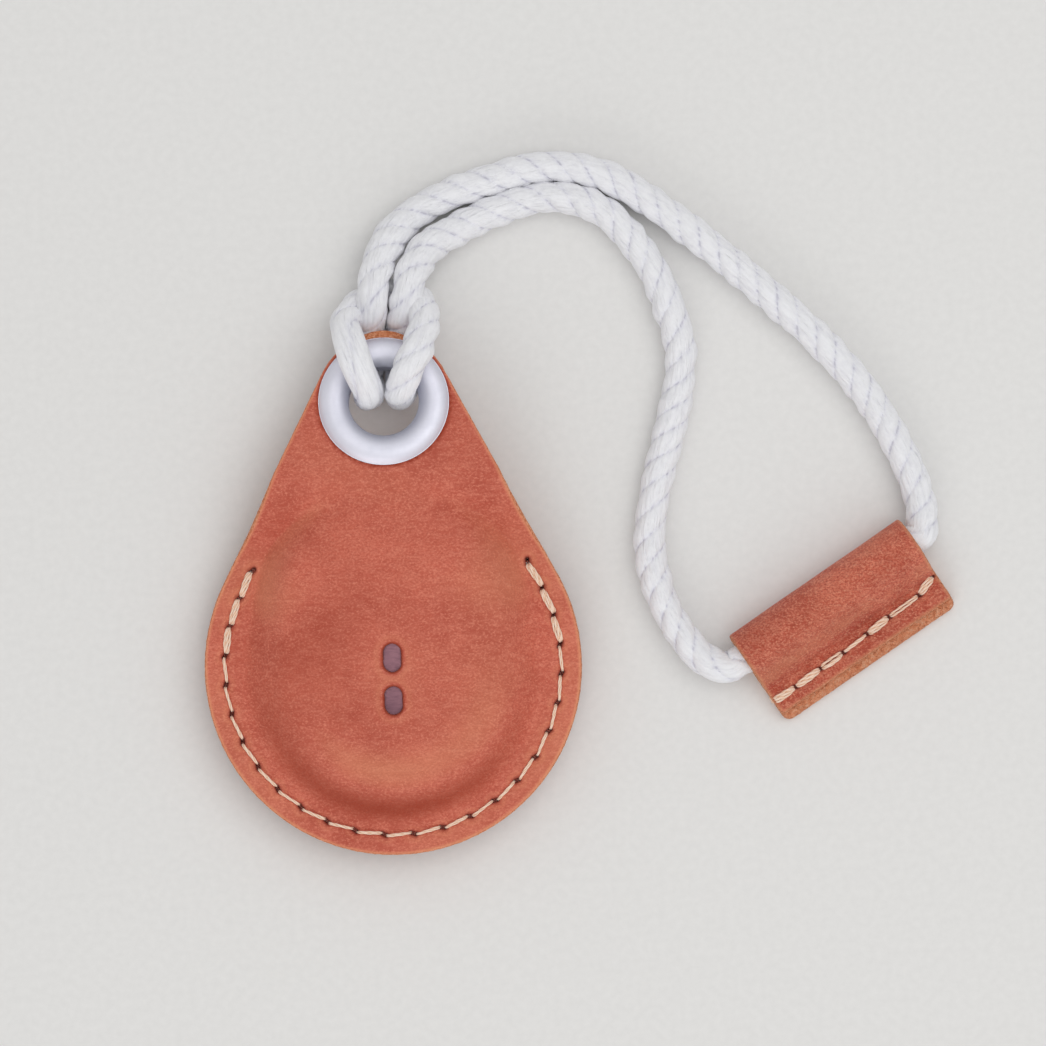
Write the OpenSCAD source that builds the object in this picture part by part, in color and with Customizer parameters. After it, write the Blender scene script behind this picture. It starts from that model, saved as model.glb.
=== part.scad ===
// Leather holder for a coin-shaped tracker tag, hung from a cotton rope loop.
// It lies on its back: z = 0 is the table, and +Y runs from the tag to the eyelet.
// The origin is the centre of the round body, on the table.

/* [Pouch] */
// Radius of the round body
pouch_r = 26.85; // [25.5:0.05:31]
// Radius of the round top of the neck
neck_r = 9.7; // [9.5:0.1:11]
// Distance from the centre of the body to the eyelet
neck_reach = 37.5; // [36.5:0.5:42]
// Slope of the neck down to its end, in degrees
neck_slope = 12; // [9:0.5:12.5]
// Thickness of the leather
leather_t = 1.4; // [1.2:0.1:1.6]
// Height of the plane where the two leathers meet at the seam
seam_z = 5; // [4.5:0.1:5.5]
// Height of the pocket's mouth above the centre of the body
mouth_y = 13.6; // [12:0.2:14.5]
// Lean of the mouth, in degrees
mouth_lean = 3.9; // [0:0.1:5]

/* [Seam] */
// Distance from the edge to the row of awl holes
seam_inset = 2.85; // [2.5:0.05:3.2]
// Number of awl holes round the pocket
seam_holes = 26; // [22:1:30]
// Angle of the last hole, measured from the bottom of the pouch
seam_end_angle = 126; // [122:1:128]
// Width of the sewing thread
thread_w = 0.55; // [0.5:0.05:0.9]
// Width of the doubled thread at both ends of the seam
end_thread_w = 1.25; // [1.1:0.05:1.4]
// Thickness of the thread where it lies on the leather
thread_t = 0.5; // [0.4:0.05:0.6]

/* [Sound slots] */
// Width of a slot
slot_w = 2.6; // [2:0.1:3.2]
// Length of a slot
slot_l = 4.1; // [3.6:0.1:4.6]
// Distance between the centres of the two slots
slot_pitch = 6.05; // [5.6:0.05:7]

/* [Eyelet] */
// Radius of the hole through the eyelet
bore_r = 5; // [4.8:0.05:5.2]
// Radius of the front flange
flange_r = 9.3; // [8.8:0.1:9.4]
// Height of the flange's crown above the leather
crown_h = 1.3; // [1:0.1:1.3]
// Wall of the barrel
barrel_t = 0.5; // [0.4:0.05:0.6]
// Radius of the washer on the back
washer_r = 8.8; // [8:0.1:9]
// Thickness of the washer
washer_t = 0.45; // [0.35:0.05:0.5]
// Reach of the barrel's rolled lip past the bore
lip_w = 1.4; // [1.1:0.1:1.6]

/* [Rope] */
// Diameter of the rope
rope_d = 4.7; // [4.3:0.1:4.8]
// Diameter of the rope where the hitch squeezes it
hitch_d = 4.2; // [3.8:0.1:4.2]

/* [Rope sleeve] */
// Length of the sleeve along the rope
sleeve_l = 29.5; // [26:0.5:31]
// Width of the sleeve from its fold to its edge
sleeve_w = 14.7; // [13.5:0.1:16]
// Distance from the fold to the row of stitches
sleeve_seam = 11; // [10.5:0.1:11.5]
// Number of stitches in the sleeve
sleeve_stitches = 7; // [5:1:9]
// Direction of the sleeve, in degrees from +X
sleeve_angle = 32.6; // [32:0.1:33]
// Step between the two raw edges of the sleeve
edge_step = 0.9; // [0.5:0.1:1.2]

/* [Tag] */
// Radius of the tracker tag
tag_r = 15.95; // [15.5:0.05:16.2]
// Thickness of the tag
tag_h = 8; // [7.8:0.1:8.4]
// Radius of the tag's rounded edge, as a share of its thickness
tag_edge_share = 0.475; // [0.45:0.005:0.485]
// Wall of the tag's shell
tag_wall = 1.2; // [1:0.05:1.3]
// How far the tag sits below the centre of the body
tag_drop = 1.7; // [1:0.1:2]
// How far the tag slides out of its pocket before the leather has to bend
tag_travel = 10; // [8:0.5:10]
// Radius of the battery door
door_r = 12.9; // [12.7:0.05:13]
// Radius of the coin cell
cell_r = 10; // [9.8:0.1:10]
// Thickness of the coin cell
cell_h = 3.2; // [3:0.1:3.2]

/* [Hidden] */
$fn = 64;

// Overrun of every cut
over = 1;
// Clearance between the tag and the leather above and below it
tag_gap = 0.15;
// Small clearance between pieces of the tag
fit_gap = 0.1;
// Step used to measure the slope of a leather surface
probe = 0.01;

// Leather: heights
tag_z = leather_t + tag_gap;
ceiling_z = tag_z + tag_h + tag_gap;

// Leather: the outline is two circles joined by their outer tangents
tangent_tilt = asin((pouch_r - neck_r) / neck_reach);
low_tangent_y = pouch_r * sin(tangent_tilt);
high_tangent_y = neck_reach + neck_r * sin(tangent_tilt);

// Leather: the neck bends between these heights, just below the eyelet
bend_length = 4.7;
bend_margin = 0.5;
bend_end = neck_reach - flange_r - bend_margin;
bend_start = bend_end - bend_length;

// Leather: the dome over the tag falls to the seam between these distances from the tag's path.
// It ends nearer to the tag beside the pocket's mouth than at the bottom.
dome_inset_share = 0.5;
low_border_share = 0.2;
high_border_share = 0.46;
tag_edge_r = tag_edge_share * tag_h;
seam_r = pouch_r - seam_inset;
dome_flat_r = tag_r - dome_inset_share * tag_edge_r;
fall_room = seam_r - tag_drop - tag_r;

// Leather: above the seam's end the sides rise to meet the neck
side_margin = 2.1;
side_start = seam_r * sin(seam_end_angle - 90) / cos(seam_end_angle - 90 - tangent_tilt) + side_margin;

// Leather: stations across and along a panel
arc_steps = 17;
neck_arc_steps = 5;
first_arc_share = 0.35;
rise_shares = [1 / 3, 2 / 3];
half_column_shares = [0.25, 0.42, 0.52, 0.59, 0.66, 0.72, 0.78, 0.84, 0.92, 1];
column_shares = concat(
    [for (i = [len(half_column_shares) - 1:-1:0]) -half_column_shares[i]],
    [0],
    half_column_shares
);

// Seam: a thread leg fills its part of an awl hole, and two legs share each hole
leg_t = 0.4;
leg_gap = 0.24;
hole_gap = 0.1;
doubled_stitches = 3;

// Eyelet: the hole in the leather and the clenched lip
barrel_r = bore_r + barrel_t;
barrel_play = 0.05;
leather_hole_r = barrel_r + barrel_play;
lip_t = 0.45;

// Sleeve: the fold wraps the rope
rope_r = rope_d / 2;
hitch_r = hitch_d / 2;
wrap_gap = 0.15;
wrap_r = rope_r + wrap_gap;
fold_r = wrap_r + leather_t;
sleeve_origin = [50.1, -0.6, 0];
sleeve_flat = 1.5;

// Tag: thicknesses and clearances along its axis
door_t = 0.4;
door_edge_r = 0.6;
liner_floor_t = 0.35;
liner_gap = 0.05;
tab_h = 0.4;
seal_h = 0.4;
seal_gap = 0.05;
cell_lift = 0.25;
floor_t = 0.5;

// Tag: heights above its lower face, the door's and the cell's measured down from the top
parting_drop = 1.8;
shelf_drop = 1.7;
lip_drop = 0.75;
parting_z = tag_h - parting_drop;
shelf_z = tag_h - shelf_drop;
lip_z = tag_h - lip_drop;
cell_z = tag_h - door_t - liner_floor_t - fit_gap - cell_h;
floor_z = cell_z - cell_lift - floor_t;

// Tag: the electronics share the room between the shell and the battery's floor
board_share = 0.3;
chip_share = 0.3;
board_gap_share = 0.2;
coil_share = 0.75;
magnet_share = 0.85;
electronics_h = floor_z - tag_wall;
board_t = board_share * electronics_h;
chip_h = chip_share * electronics_h;
board_z = floor_z - board_gap_share * electronics_h - board_t;
coil_h = coil_share * electronics_h;
magnet_h = magnet_share * electronics_h;

// Tag: radii, each from the size that it follows
cell_play = 0.3;
cell_edge_r = 0.3;
well_r = cell_r + cell_play;
well_wall = 0.9;
skirt_play = 0.45;
skirt_r = tag_r - tag_wall - skirt_play;
skirt_wall = 0.8;
antenna_roof = 1;
board_play = 0.7;
board_r = skirt_r - board_play;
board_hole_share = 0.6;
board_hole_r = board_hole_share * cell_r;
chip_ring_r = (board_r + board_hole_r) / 2;
chip_l = 3.4;
chip_w = 2.6;
door_play = 0.15;
recess_r = door_r + door_play;
groove_depth = 0.85;
groove_r = recess_r + groove_depth;
tab_play = 0.2;
tab_r = groove_r - tab_play;
tab_angle = 20;
notch_angle = 26;
notch_turn = 20;
liner_r = door_r - door_t - fit_gap;
seal_inset = 0.4;
seal_r = liner_r - seal_inset;
seal_w = 1.1;

// Tag: speaker and battery contacts
coil_r = 5;
coil_w = 0.7;
magnet_r = 4;
spring_reach_shares = [0.3, 0.8];
spring_w = 1.4;
spring_t = 0.15;

// Rope: rings of the centreline from the middle of the sleeve, round the long outer run,
// through the hitch, and back along the inner run. The points lie where the rope lies.
function in_sleeve(share) =
    sleeve_origin + [cos(sleeve_angle), sin(sleeve_angle), 0] * sleeve_l * share
    + [0, 0, leather_t + wrap_r];
outer_route = [
    in_sleeve(1 / 2), in_sleeve(3 / 4), in_sleeve(1), [76.2, 17.6, 3.5], [76, 21.6, 2.8],
    [73.8, 28, 2.4], [68.8, 37, 2.4], [61.6, 45.4, 2.4], [53, 53.6, 2.4], [44.4, 61, 2.4],
    [35.8, 67.6, 2.4], [30, 70.4, 2.4], [23.6, 71.1, 2.4], [17.2, 69.8, 2.4],
    [11.6, 68, 2.4], [6.4, 65.4, 2.4], [3, 62.8, 2.9]
];
hitch_route = [
    [0.8, 60, 4.3], [-0.6, 56.6, 6], [-1.1, 53.2, 6.65], [-1.15, 50.7, 5.4], [-1.7, 48.2, 2.65],
    [-2.1, 45, 2.15], [-2.2, 41.5, 2.3], [-2.2, 39.1, 4.3], [-2.2, 38.8, 7], [-2.3, 39.6, 9.7],
    [-3, 42.2, 11.2], [-4.1, 45.2, 10.8], [-4.9, 48, 9], [-5.4, 50.2, 6.6], [-5.4, 52.3, 3.9],
    [-3.6, 53.7, 2.35], [1.2, 53.8, 2.15], [6, 53.7, 2.35], [7.6, 52.3, 3.9], [7.5, 50.2, 6.6],
    [6.1, 48, 9], [5.1, 45.2, 10.8], [3.6, 42.2, 11.2], [2.5, 39.6, 9.7], [2.3, 38.8, 7],
    [2.3, 39.1, 4.3], [2.3, 41.5, 2.3], [2.5, 45, 2.15], [2.8, 48.2, 2.65], [3.15, 50.7, 5.4],
    [3.7, 53.2, 6.65], [4.8, 56.6, 6], [7.4, 59.8, 4.3]
];
inner_route = [
    [10.6, 61.8, 2.9], [14, 63.5, 2.4], [18, 65, 2.4], [23, 66.1, 2.4], [27.2, 66, 2.4],
    [31.2, 64.6, 2.4], [34.8, 61.6, 2.4], [39.4, 54.8, 2.4], [42.2, 46.4, 2.4],
    [42.4, 40.4, 2.4], [40.6, 32.2, 2.4], [38.2, 23.4, 2.4], [37.3, 15.6, 2.4],
    [38.6, 8.6, 2.4], [41.4, 3, 2.7], [44.8, -0.8, 3.3], [48, -1.7, 3.7],
    in_sleeve(0), in_sleeve(1 / 4), in_sleeve(1 / 2)
];
route = concat(outer_route, hitch_route, inner_route);
hitch_first = len(outer_route);
hitch_last = hitch_first + len(hitch_route) - 1;
rope_sides = 10;

// Blend of the rope's two diameters, in rings at each end of the hitch
blend_rings = 2;

function smooth(s) = let (c = min(1, max(0, s))) c * c * (3 - 2 * c);
function mix(a, b, s) = a + (b - a) * s;

// Outline and surfaces of the leather
function half_width(y) =
    y < low_tangent_y ? sqrt(max(0, pouch_r ^ 2 - y ^ 2))
    : y > high_tangent_y ? sqrt(max(0, neck_r ^ 2 - (y - neck_reach) ^ 2))
    : pouch_r * cos(tangent_tilt) - (y - low_tangent_y) * tan(tangent_tilt);

function ridge_z(y) =
    y < bend_start ? ceiling_z
    : y < bend_end ? ceiling_z - tan(neck_slope) * (y - bend_start) ^ 2 / (2 * bend_length)
    : ceiling_z - tan(neck_slope) * (y - bend_end + bend_length / 2);

function side_z(y) = mix(seam_z, ridge_z(y), smooth((y - side_start) / (bend_end - side_start)));

function path_distance(x, y) = norm([x, y - min(max(y, -tag_drop), tag_travel - tag_drop)]);

function fall_end_r(y) =
    tag_r + (1 - mix(low_border_share, high_border_share, smooth(y / mouth_y))) * fall_room;

function fall(x, y) =
    smooth((fall_end_r(y) - path_distance(x, y)) / (fall_end_r(y) - dome_flat_r));

function front_z(x, y) = mix(side_z(y), ridge_z(y), fall(x, y));
function pocket_z(x, y) = mix(seam_z, leather_t, fall(x, y));

function unit(v) = v / norm(v);
function front_normal(x, y) = unit([
    (front_z(x - probe, y) - front_z(x + probe, y)) / (2 * probe),
    (front_z(x, y - probe) - front_z(x, y + probe)) / (2 * probe),
    1
]);
function pocket_normal(x, y) = unit([
    (pocket_z(x - probe, y) - pocket_z(x + probe, y)) / (2 * probe),
    (pocket_z(x, y - probe) - pocket_z(x, y + probe)) / (2 * probe),
    1
]);

// Stations along the body, and along the whole front
arc_tilt = (90 + tangent_tilt) / arc_steps;
body_rows = [for (i = [0:arc_steps]) -pouch_r * cos((i == 0 ? first_arc_share : i) * arc_tilt)];
neck_arc = (90 - tangent_tilt) / (neck_arc_steps + first_arc_share);
neck_rows = [for (i = [0:neck_arc_steps]) neck_reach + neck_r * sin(tangent_tilt + i * neck_arc)];
front_rows = concat(
    body_rows,
    [for (s = rise_shares) mix(low_tangent_y, bend_start, s)],
    [bend_start, (bend_start + bend_end) / 2, bend_end],
    [for (s = rise_shares) mix(bend_end, high_tangent_y, s)],
    neck_rows
);
pocket_top = mouth_y + pouch_r * tan(mouth_lean) + over;
pocket_rows = concat(body_rows, [max(pocket_top, low_tangent_y + over)]);

// Plan of a panel: the first and the last station follow the round outline
function plan_point(rows, j, share) =
    let (x = share * half_width(rows[j]))
    j == 0 ? [x, -sqrt(pouch_r ^ 2 - x ^ 2)]
    : rows[j] > high_tangent_y && j == len(rows) - 1 ? [x, neck_reach + sqrt(neck_r ^ 2 - x ^ 2)]
    : [x, rows[j]];
function plan(rows) = [for (j = [0:len(rows) - 1]) [for (s = column_shares) plan_point(rows, j, s)]];

front_plan = plan(front_rows);
pocket_plan = plan(pocket_rows);

// Closed sheet between two grids of points, the lower one first
module sheet(lower, upper) {
    rows = len(lower);
    cols = len(lower[0]);
    layer = rows * cols;
    quads = concat(
        [for (r = [0:rows - 2], c = [0:cols - 2])
            let (a = layer + r * cols + c) [a, a + cols, a + cols + 1, a + 1]],
        [for (r = [0:rows - 2], c = [0:cols - 2])
            let (a = r * cols + c) [a, a + 1, a + cols + 1, a + cols]],
        [for (r = [0:rows - 2])
            let (a = r * cols) [layer + a + cols, layer + a, a, a + cols]],
        [for (r = [0:rows - 2])
            let (a = (r + 1) * cols - 1) [layer + a, layer + a + cols, a + cols, a]],
        [for (c = [0:cols - 2]) [layer + c, layer + c + 1, c + 1, c]],
        [for (c = [0:cols - 2])
            let (a = layer - cols + c) [layer + a + 1, layer + a, a, a + 1]]
    );
    polyhedron(
        concat([for (row = lower) each row], [for (row = upper) each row]),
        [for (q = quads) each [[q[0], q[1], q[2]], [q[0], q[2], q[3]]]]
    );
}

// Frame of the neck: z = 0 is the leather's inner face at the eyelet's centre
module on_neck() {
    translate([0, neck_reach, ridge_z(neck_reach)])
        rotate([-neck_slope, 0, 0])
            children();
}

// Seam: where the awl holes are
function seam_angle(i) = seam_end_angle * (2 * i / (seam_holes - 1) - 1);
function seam_point(i) =
    let (a = seam_angle(i), past = max(0, abs(a) - 90 - tangent_tilt))
    seam_r / cos(past) * [sin(a), -cos(a)];
function is_doubled(i) = i < doubled_stitches || i >= seam_holes - 1 - doubled_stitches;
function stitch_width(i) = is_doubled(i) ? end_thread_w : thread_w;
function hole_width(i) =
    hole_gap * 2 + max(stitch_width(max(0, i - 1)), stitch_width(min(seam_holes - 2, i)));

module seam_awl_holes() {
    hole_l = 2 * leg_t + leg_gap + 2 * hole_gap;
    for (i = [0:seam_holes - 1]) {
        before = seam_point(max(0, i - 1));
        after = seam_point(min(seam_holes - 1, i + 1));
        run = after - before;
        translate([seam_point(i)[0], seam_point(i)[1], seam_z])
            rotate(atan2(run[1], run[0]))
                cube([hole_l, hole_width(i), 2 * (leather_t + over)], center = true);
    }
}

module rounded_rect(w, h, r) {
    square([w - 2 * r, h], center = true);
    square([w, h - 2 * r], center = true);
    for (x = [r - w / 2, w / 2 - r], y = [r - h / 2, h / 2 - r])
        translate([x, y])
            circle(r);
}

// One stitch: thread round two leathers between two holes, drawn along +X and centred on the seam
// plane, its lower side let into the leather by a groove's depth
module stitch(length, width, groove = 0) {
    high = 2 * (leather_t + thread_t) - groove;
    rotate([90, 0, 0])
        linear_extrude(width, center = true)
            translate([0, groove / 2])
                difference() {
                    rounded_rect(length, high, thread_t);
                    square([length - 2 * leg_t, high - 2 * thread_t], center = true);
                }
}

module front_panel() {
    inner = [for (row = front_plan) [for (p = row) [p[0], p[1], front_z(p[0], p[1])]]];
    outer = [for (row = front_plan) [for (p = row)
        [p[0], p[1], front_z(p[0], p[1])] + leather_t * front_normal(p[0], p[1])]];
    color("#c46850")
        difference() {
            sheet(inner, outer);
            on_neck()
                translate([0, 0, -over])
                    cylinder(r = leather_hole_r, h = leather_t + 2 * over);
            seam_awl_holes();
            for (side = [-1, 1])
                translate([0, side * slot_pitch / 2 - tag_drop, ceiling_z - over])
                    sound_slot(leather_t + 2 * over);
        }
}

// Slot with round ends
module sound_slot(h) {
    straight = slot_l - slot_w;
    translate([-slot_w / 2, -straight / 2, 0])
        cube([slot_w, straight, h]);
    for (y = [-straight / 2, straight / 2])
        translate([0, y, 0])
            cylinder(d = slot_w, h = h);
}

module back_pocket() {
    inner = [for (row = pocket_plan) [for (p = row) [p[0], p[1], pocket_z(p[0], p[1])]]];
    outer = [for (row = pocket_plan) [for (p = row)
        [p[0], p[1], pocket_z(p[0], p[1])] - leather_t * pocket_normal(p[0], p[1])]];
    color("#b45c42")
        difference() {
            sheet(outer, inner);
            translate([0, mouth_y, -over])
                rotate(mouth_lean)
                    translate([-2 * pouch_r, 0, 0])
                        cube([4 * pouch_r, pouch_r, seam_z + 2 * over]);
            seam_awl_holes();
        }
}

module seam_thread() {
    color("#f5d5b8")
        for (i = [0:seam_holes - 2]) {
            run = seam_point(i + 1) - seam_point(i);
            middle = (seam_point(i + 1) + seam_point(i)) / 2;
            translate([middle[0], middle[1], seam_z])
                rotate(atan2(run[1], run[0]))
                    stitch(norm(run) - leg_gap, stitch_width(i));
        }
}

// Flange and barrel in one piece, its lip rolled out over the washer
module eyelet() {
    half_chord = (flange_r - bore_r) / 2;
    crown_r = (half_chord ^ 2 + crown_h ^ 2) / (2 * crown_h);
    lip_r = bore_r + lip_w;
    color("#d8d9e2")
        on_neck()
            rotate_extrude() {
                intersection() {
                    translate([bore_r + half_chord, leather_t + crown_h - crown_r])
                        circle(crown_r);
                    translate([bore_r, leather_t])
                        square([2 * half_chord, crown_h]);
                }
                translate([bore_r, -washer_t - lip_t])
                    square([barrel_t, leather_t + washer_t + lip_t]);
                translate([bore_r, -washer_t - lip_t])
                    square([lip_w - lip_t / 2, lip_t]);
                translate([lip_r - lip_t / 2, -washer_t - lip_t / 2])
                    circle(lip_t / 2);
            }
}

module eyelet_washer() {
    color("#c9cad2")
        on_neck()
            translate([0, 0, -washer_t])
                difference() {
                    cylinder(r = washer_r, h = washer_t);
                    translate([0, 0, -over])
                        cylinder(r = leather_hole_r, h = washer_t + 2 * over);
                }
}

// Rope: a tube swept along the route
function heading(p, i) = unit(p[min(len(p) - 1, i + 1)] - p[max(0, i - 1)]);
function squared(v, t) = unit(v - (v * t) * t);

function rope_ring_r(i) =
    let (outside = max(hitch_first + blend_rings - i, i - hitch_last + blend_rings, 0))
    mix(hitch_r, rope_r, smooth(outside / blend_rings));

module rope(first, last) {
    headings = [for (i = [first:last]) heading(route, i)];
    count = last - first + 1;
    sides = [for (
        i = 0, v = squared([0, 0, 1], headings[0]);
        i < count;
        i = i + 1, v = squared(v, headings[min(i, count - 1)])
    ) v];
    points = [for (i = [0:count - 1]) let (v = sides[i], w = cross(headings[i], v))
        for (k = [0:rope_sides - 1]) let (a = (k + 1 / 2) * 360 / rope_sides)
            route[first + i] + rope_ring_r(first + i) * (cos(a) * v + sin(a) * w)];
    walls = [for (i = [0:count - 2], k = [0:rope_sides - 1])
        let (a = i * rope_sides + k, b = i * rope_sides + (k + 1) % rope_sides)
            each [[a, a + rope_sides, b + rope_sides], [a, b + rope_sides, b]]];
    polyhedron(points, concat(
        [[for (k = [0:rope_sides - 1]) k]],
        walls,
        [[for (k = [rope_sides - 1:-1:0]) (count - 1) * rope_sides + k]]
    ));
}

module rope_outer_run() {
    color("#e4e4ea")
        rope(0, hitch_first);
}

module rope_hitch() {
    color("#dcdce4")
        rope(hitch_first, hitch_last);
}

module rope_inner_run() {
    color("#e4e4ea")
        rope(hitch_last, len(route) - 1);
}

// Sleeve: local x runs along the rope, and local y away from the stitched edge
module on_sleeve() {
    translate(sleeve_origin)
        rotate(sleeve_angle)
            children();
}

module rope_sleeve() {
    rope_z = leather_t + wrap_r;
    edge = fold_r - sleeve_w;
    flat_start = fold_r - sleeve_seam + sleeve_flat;
    to_flat = [flat_start, 2 * leather_t - rope_z];
    tangent_angle = atan2(to_flat[1], to_flat[0]) + 360 - acos(fold_r / norm(to_flat));
    radial = [cos(tangent_angle), sin(tangent_angle)];
    downhill = [-radial[1], radial[0]];
    centre = [0, rope_z];
    inner_touch = centre + wrap_r * radial;
    inner_end = inner_touch + downhill * (leather_t - inner_touch[1]) / downhill[1];
    color("#c46850")
        on_sleeve()
            difference() {
                rotate([90, 0, 90])
                    linear_extrude(sleeve_l)
                        difference() {
                            union() {
                                translate(centre)
                                    circle(fold_r);
                                polygon([
                                    centre,
                                    centre + fold_r * radial,
                                    [flat_start, 2 * leather_t],
                                    [edge + edge_step, 2 * leather_t],
                                    [edge + edge_step, leather_t],
                                    [edge, leather_t],
                                    [edge, 0],
                                    [0, 0]
                                ]);
                            }
                            translate(centre)
                                circle(wrap_r);
                            polygon([centre, inner_touch, inner_end, [0, leather_t]]);
                        }
                sleeve_awl_holes();
                thread_groove();
            }
}

sleeve_pitch = sleeve_l / sleeve_stitches;
sleeve_seam_y = fold_r - sleeve_seam;

module sleeve_awl_holes() {
    hole_l = 2 * leg_t + leg_gap + 2 * hole_gap;
    for (i = [1:sleeve_stitches - 1])
        translate([i * sleeve_pitch, sleeve_seam_y, leather_t])
            cube([hole_l, end_thread_w + 2 * hole_gap, 2 * (leather_t + over)], center = true);
}

// Groove that lets the thread lie flush with the underside
module thread_groove() {
    width = end_thread_w + 2 * hole_gap;
    translate([-over, sleeve_seam_y - width / 2, -over])
        cube([sleeve_l + 2 * over, width, over + thread_t]);
}

// The first and the last stitch wrap round the sleeve's ends
module sleeve_thread() {
    color("#f5d5b8")
        on_sleeve()
            for (i = [0:sleeve_stitches - 1]) {
                start = i == 0 ? -leg_t : i * sleeve_pitch + leg_gap / 2;
                stop = i == sleeve_stitches - 1 ? sleeve_l + leg_t : (i + 1) * sleeve_pitch - leg_gap / 2;
                translate([(start + stop) / 2, sleeve_seam_y, leather_t])
                    stitch(stop - start, end_thread_w, thread_t);
            }
}

// Tag: a coin with rounded edges
module coin(r, h, edge_r) {
    rotate_extrude() {
        square([r - edge_r, h]);
        translate([0, edge_r])
            square([r, h - 2 * edge_r]);
        for (z = [edge_r, h - edge_r])
            translate([r - edge_r, z])
                circle(edge_r);
    }
}

module in_tag() {
    translate([0, -tag_drop, tag_z])
        children();
}

module disc(r, z, h) {
    translate([0, 0, z])
        cylinder(r = r, h = h);
}

module tag_shell() {
    color("white")
        in_tag()
            difference() {
                coin(tag_r, tag_h, tag_edge_r);
                translate([0, 0, tag_wall])
                    coin(tag_r - tag_wall, tag_h, tag_edge_r - tag_wall);
                disc(tag_r + over, parting_z, tag_h);
            }
}

// Sector of a disc that the bayonet's tabs and notches are cut with
module sector(r, angle, turn, z, h) {
    rotate(turn - angle / 2)
        translate([0, 0, z])
            rotate_extrude(angle = angle)
                square([r, h]);
}

module tag_frame() {
    board_top = board_z + board_t;
    color("#e8e8e4")
        in_tag()
            difference() {
                union() {
                    intersection() {
                        coin(tag_r, tag_h, tag_edge_r);
                        disc(tag_r, parting_z, tag_h);
                    }
                    disc(skirt_r, board_top, shelf_z - board_top);
                }
                disc(recess_r, shelf_z, tag_h);
                disc(groove_r, shelf_z, lip_z - shelf_z);
                for (turn = [0, 120, 240])
                    sector(tab_r + fit_gap, notch_angle, turn + notch_turn, (shelf_z + lip_z) / 2, tag_h);
                disc(well_r, floor_z + floor_t, tag_h);
                disc(well_r, 0, floor_z);
                difference() {
                    disc(skirt_r - skirt_wall, 0, shelf_z - antenna_roof);
                    disc(well_r + well_wall, 0, shelf_z);
                }
            }
}

module tag_circuit_board() {
    color("#2f6b45")
        in_tag() {
            difference() {
                disc(board_r, board_z, board_t);
                disc(board_hole_r, 0, tag_h);
            }
            for (turn = [0, 50, 95, 160, 215, 260, 310])
                rotate(turn)
                    translate([chip_ring_r - chip_l / 2, -chip_w / 2, board_z - chip_h])
                        cube([chip_l, chip_w, chip_h + board_t / 2]);
        }
}

module tag_voice_coil() {
    color("#b87333")
        in_tag()
            difference() {
                disc(coil_r, tag_wall, coil_h);
                disc(coil_r - coil_w, 0, tag_h);
            }
}

module tag_magnet() {
    color("#8a8d93")
        in_tag()
            disc(magnet_r, floor_z - magnet_h, magnet_h);
}

module tag_contact_springs() {
    top = floor_z + floor_t;
    start = spring_reach_shares[0] * cell_r;
    stop = spring_reach_shares[1] * cell_r;
    foot = start + (stop - start) / 3;
    color("#c9a24a")
        in_tag()
            for (turn = [60, 180, 300])
                rotate(turn)
                    translate([0, spring_w / 2, top])
                        rotate([90, 0, 0])
                            linear_extrude(spring_w)
                                polygon([
                                    [start, 0],
                                    [foot, 0],
                                    [stop, cell_lift - spring_t],
                                    [stop, cell_lift],
                                    [foot, spring_t],
                                    [start, spring_t]
                                ]);
}

module tag_coin_cell() {
    color("#c3c6cb")
        in_tag()
            translate([0, 0, cell_z])
                coin(cell_r, cell_h, cell_edge_r);
}

module tag_seal() {
    color("#3a3a3c")
        in_tag()
            difference() {
                disc(seal_r, shelf_z, seal_h);
                disc(seal_r - seal_w, 0, tag_h);
            }
}

module tag_door_liner() {
    bottom = shelf_z + seal_h + seal_gap;
    color("#d9d9d6")
        in_tag()
            difference() {
                union() {
                    disc(liner_r, bottom, tag_h - door_t - bottom);
                    for (turn = [0, 120, 240])
                        sector(tab_r, tab_angle, turn, lip_z - liner_gap - tab_h, tab_h);
                }
                disc(well_r, 0, tag_h - door_t - liner_floor_t);
            }
}

module tag_steel_door() {
    rim_z = lip_z - liner_gap;
    color("#b9bcc4")
        in_tag()
            difference() {
                intersection() {
                    translate([0, 0, tag_h - 2 * door_r])
                        coin(door_r, 2 * door_r, door_edge_r);
                    disc(door_r, rim_z, tag_h);
                }
                disc(door_r - door_t, 0, tag_h - door_t);
            }
}

front_panel();
back_pocket();
seam_thread();
eyelet();
eyelet_washer();
rope_hitch();
rope_outer_run();
rope_inner_run();
rope_sleeve();
sleeve_thread();
tag_shell();
tag_frame();
tag_circuit_board();
tag_voice_coil();
tag_magnet();
tag_contact_springs();
tag_coin_cell();
tag_seal();
tag_door_liner();
tag_steel_door();
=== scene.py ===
"""Leather holder for a tracker tag on a cotton rope loop: the looks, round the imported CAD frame."""

import math

import bmesh
import bpy
import numpy as np
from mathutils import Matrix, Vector
from mathutils.geometry import delaunay_2d_cdt


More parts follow.
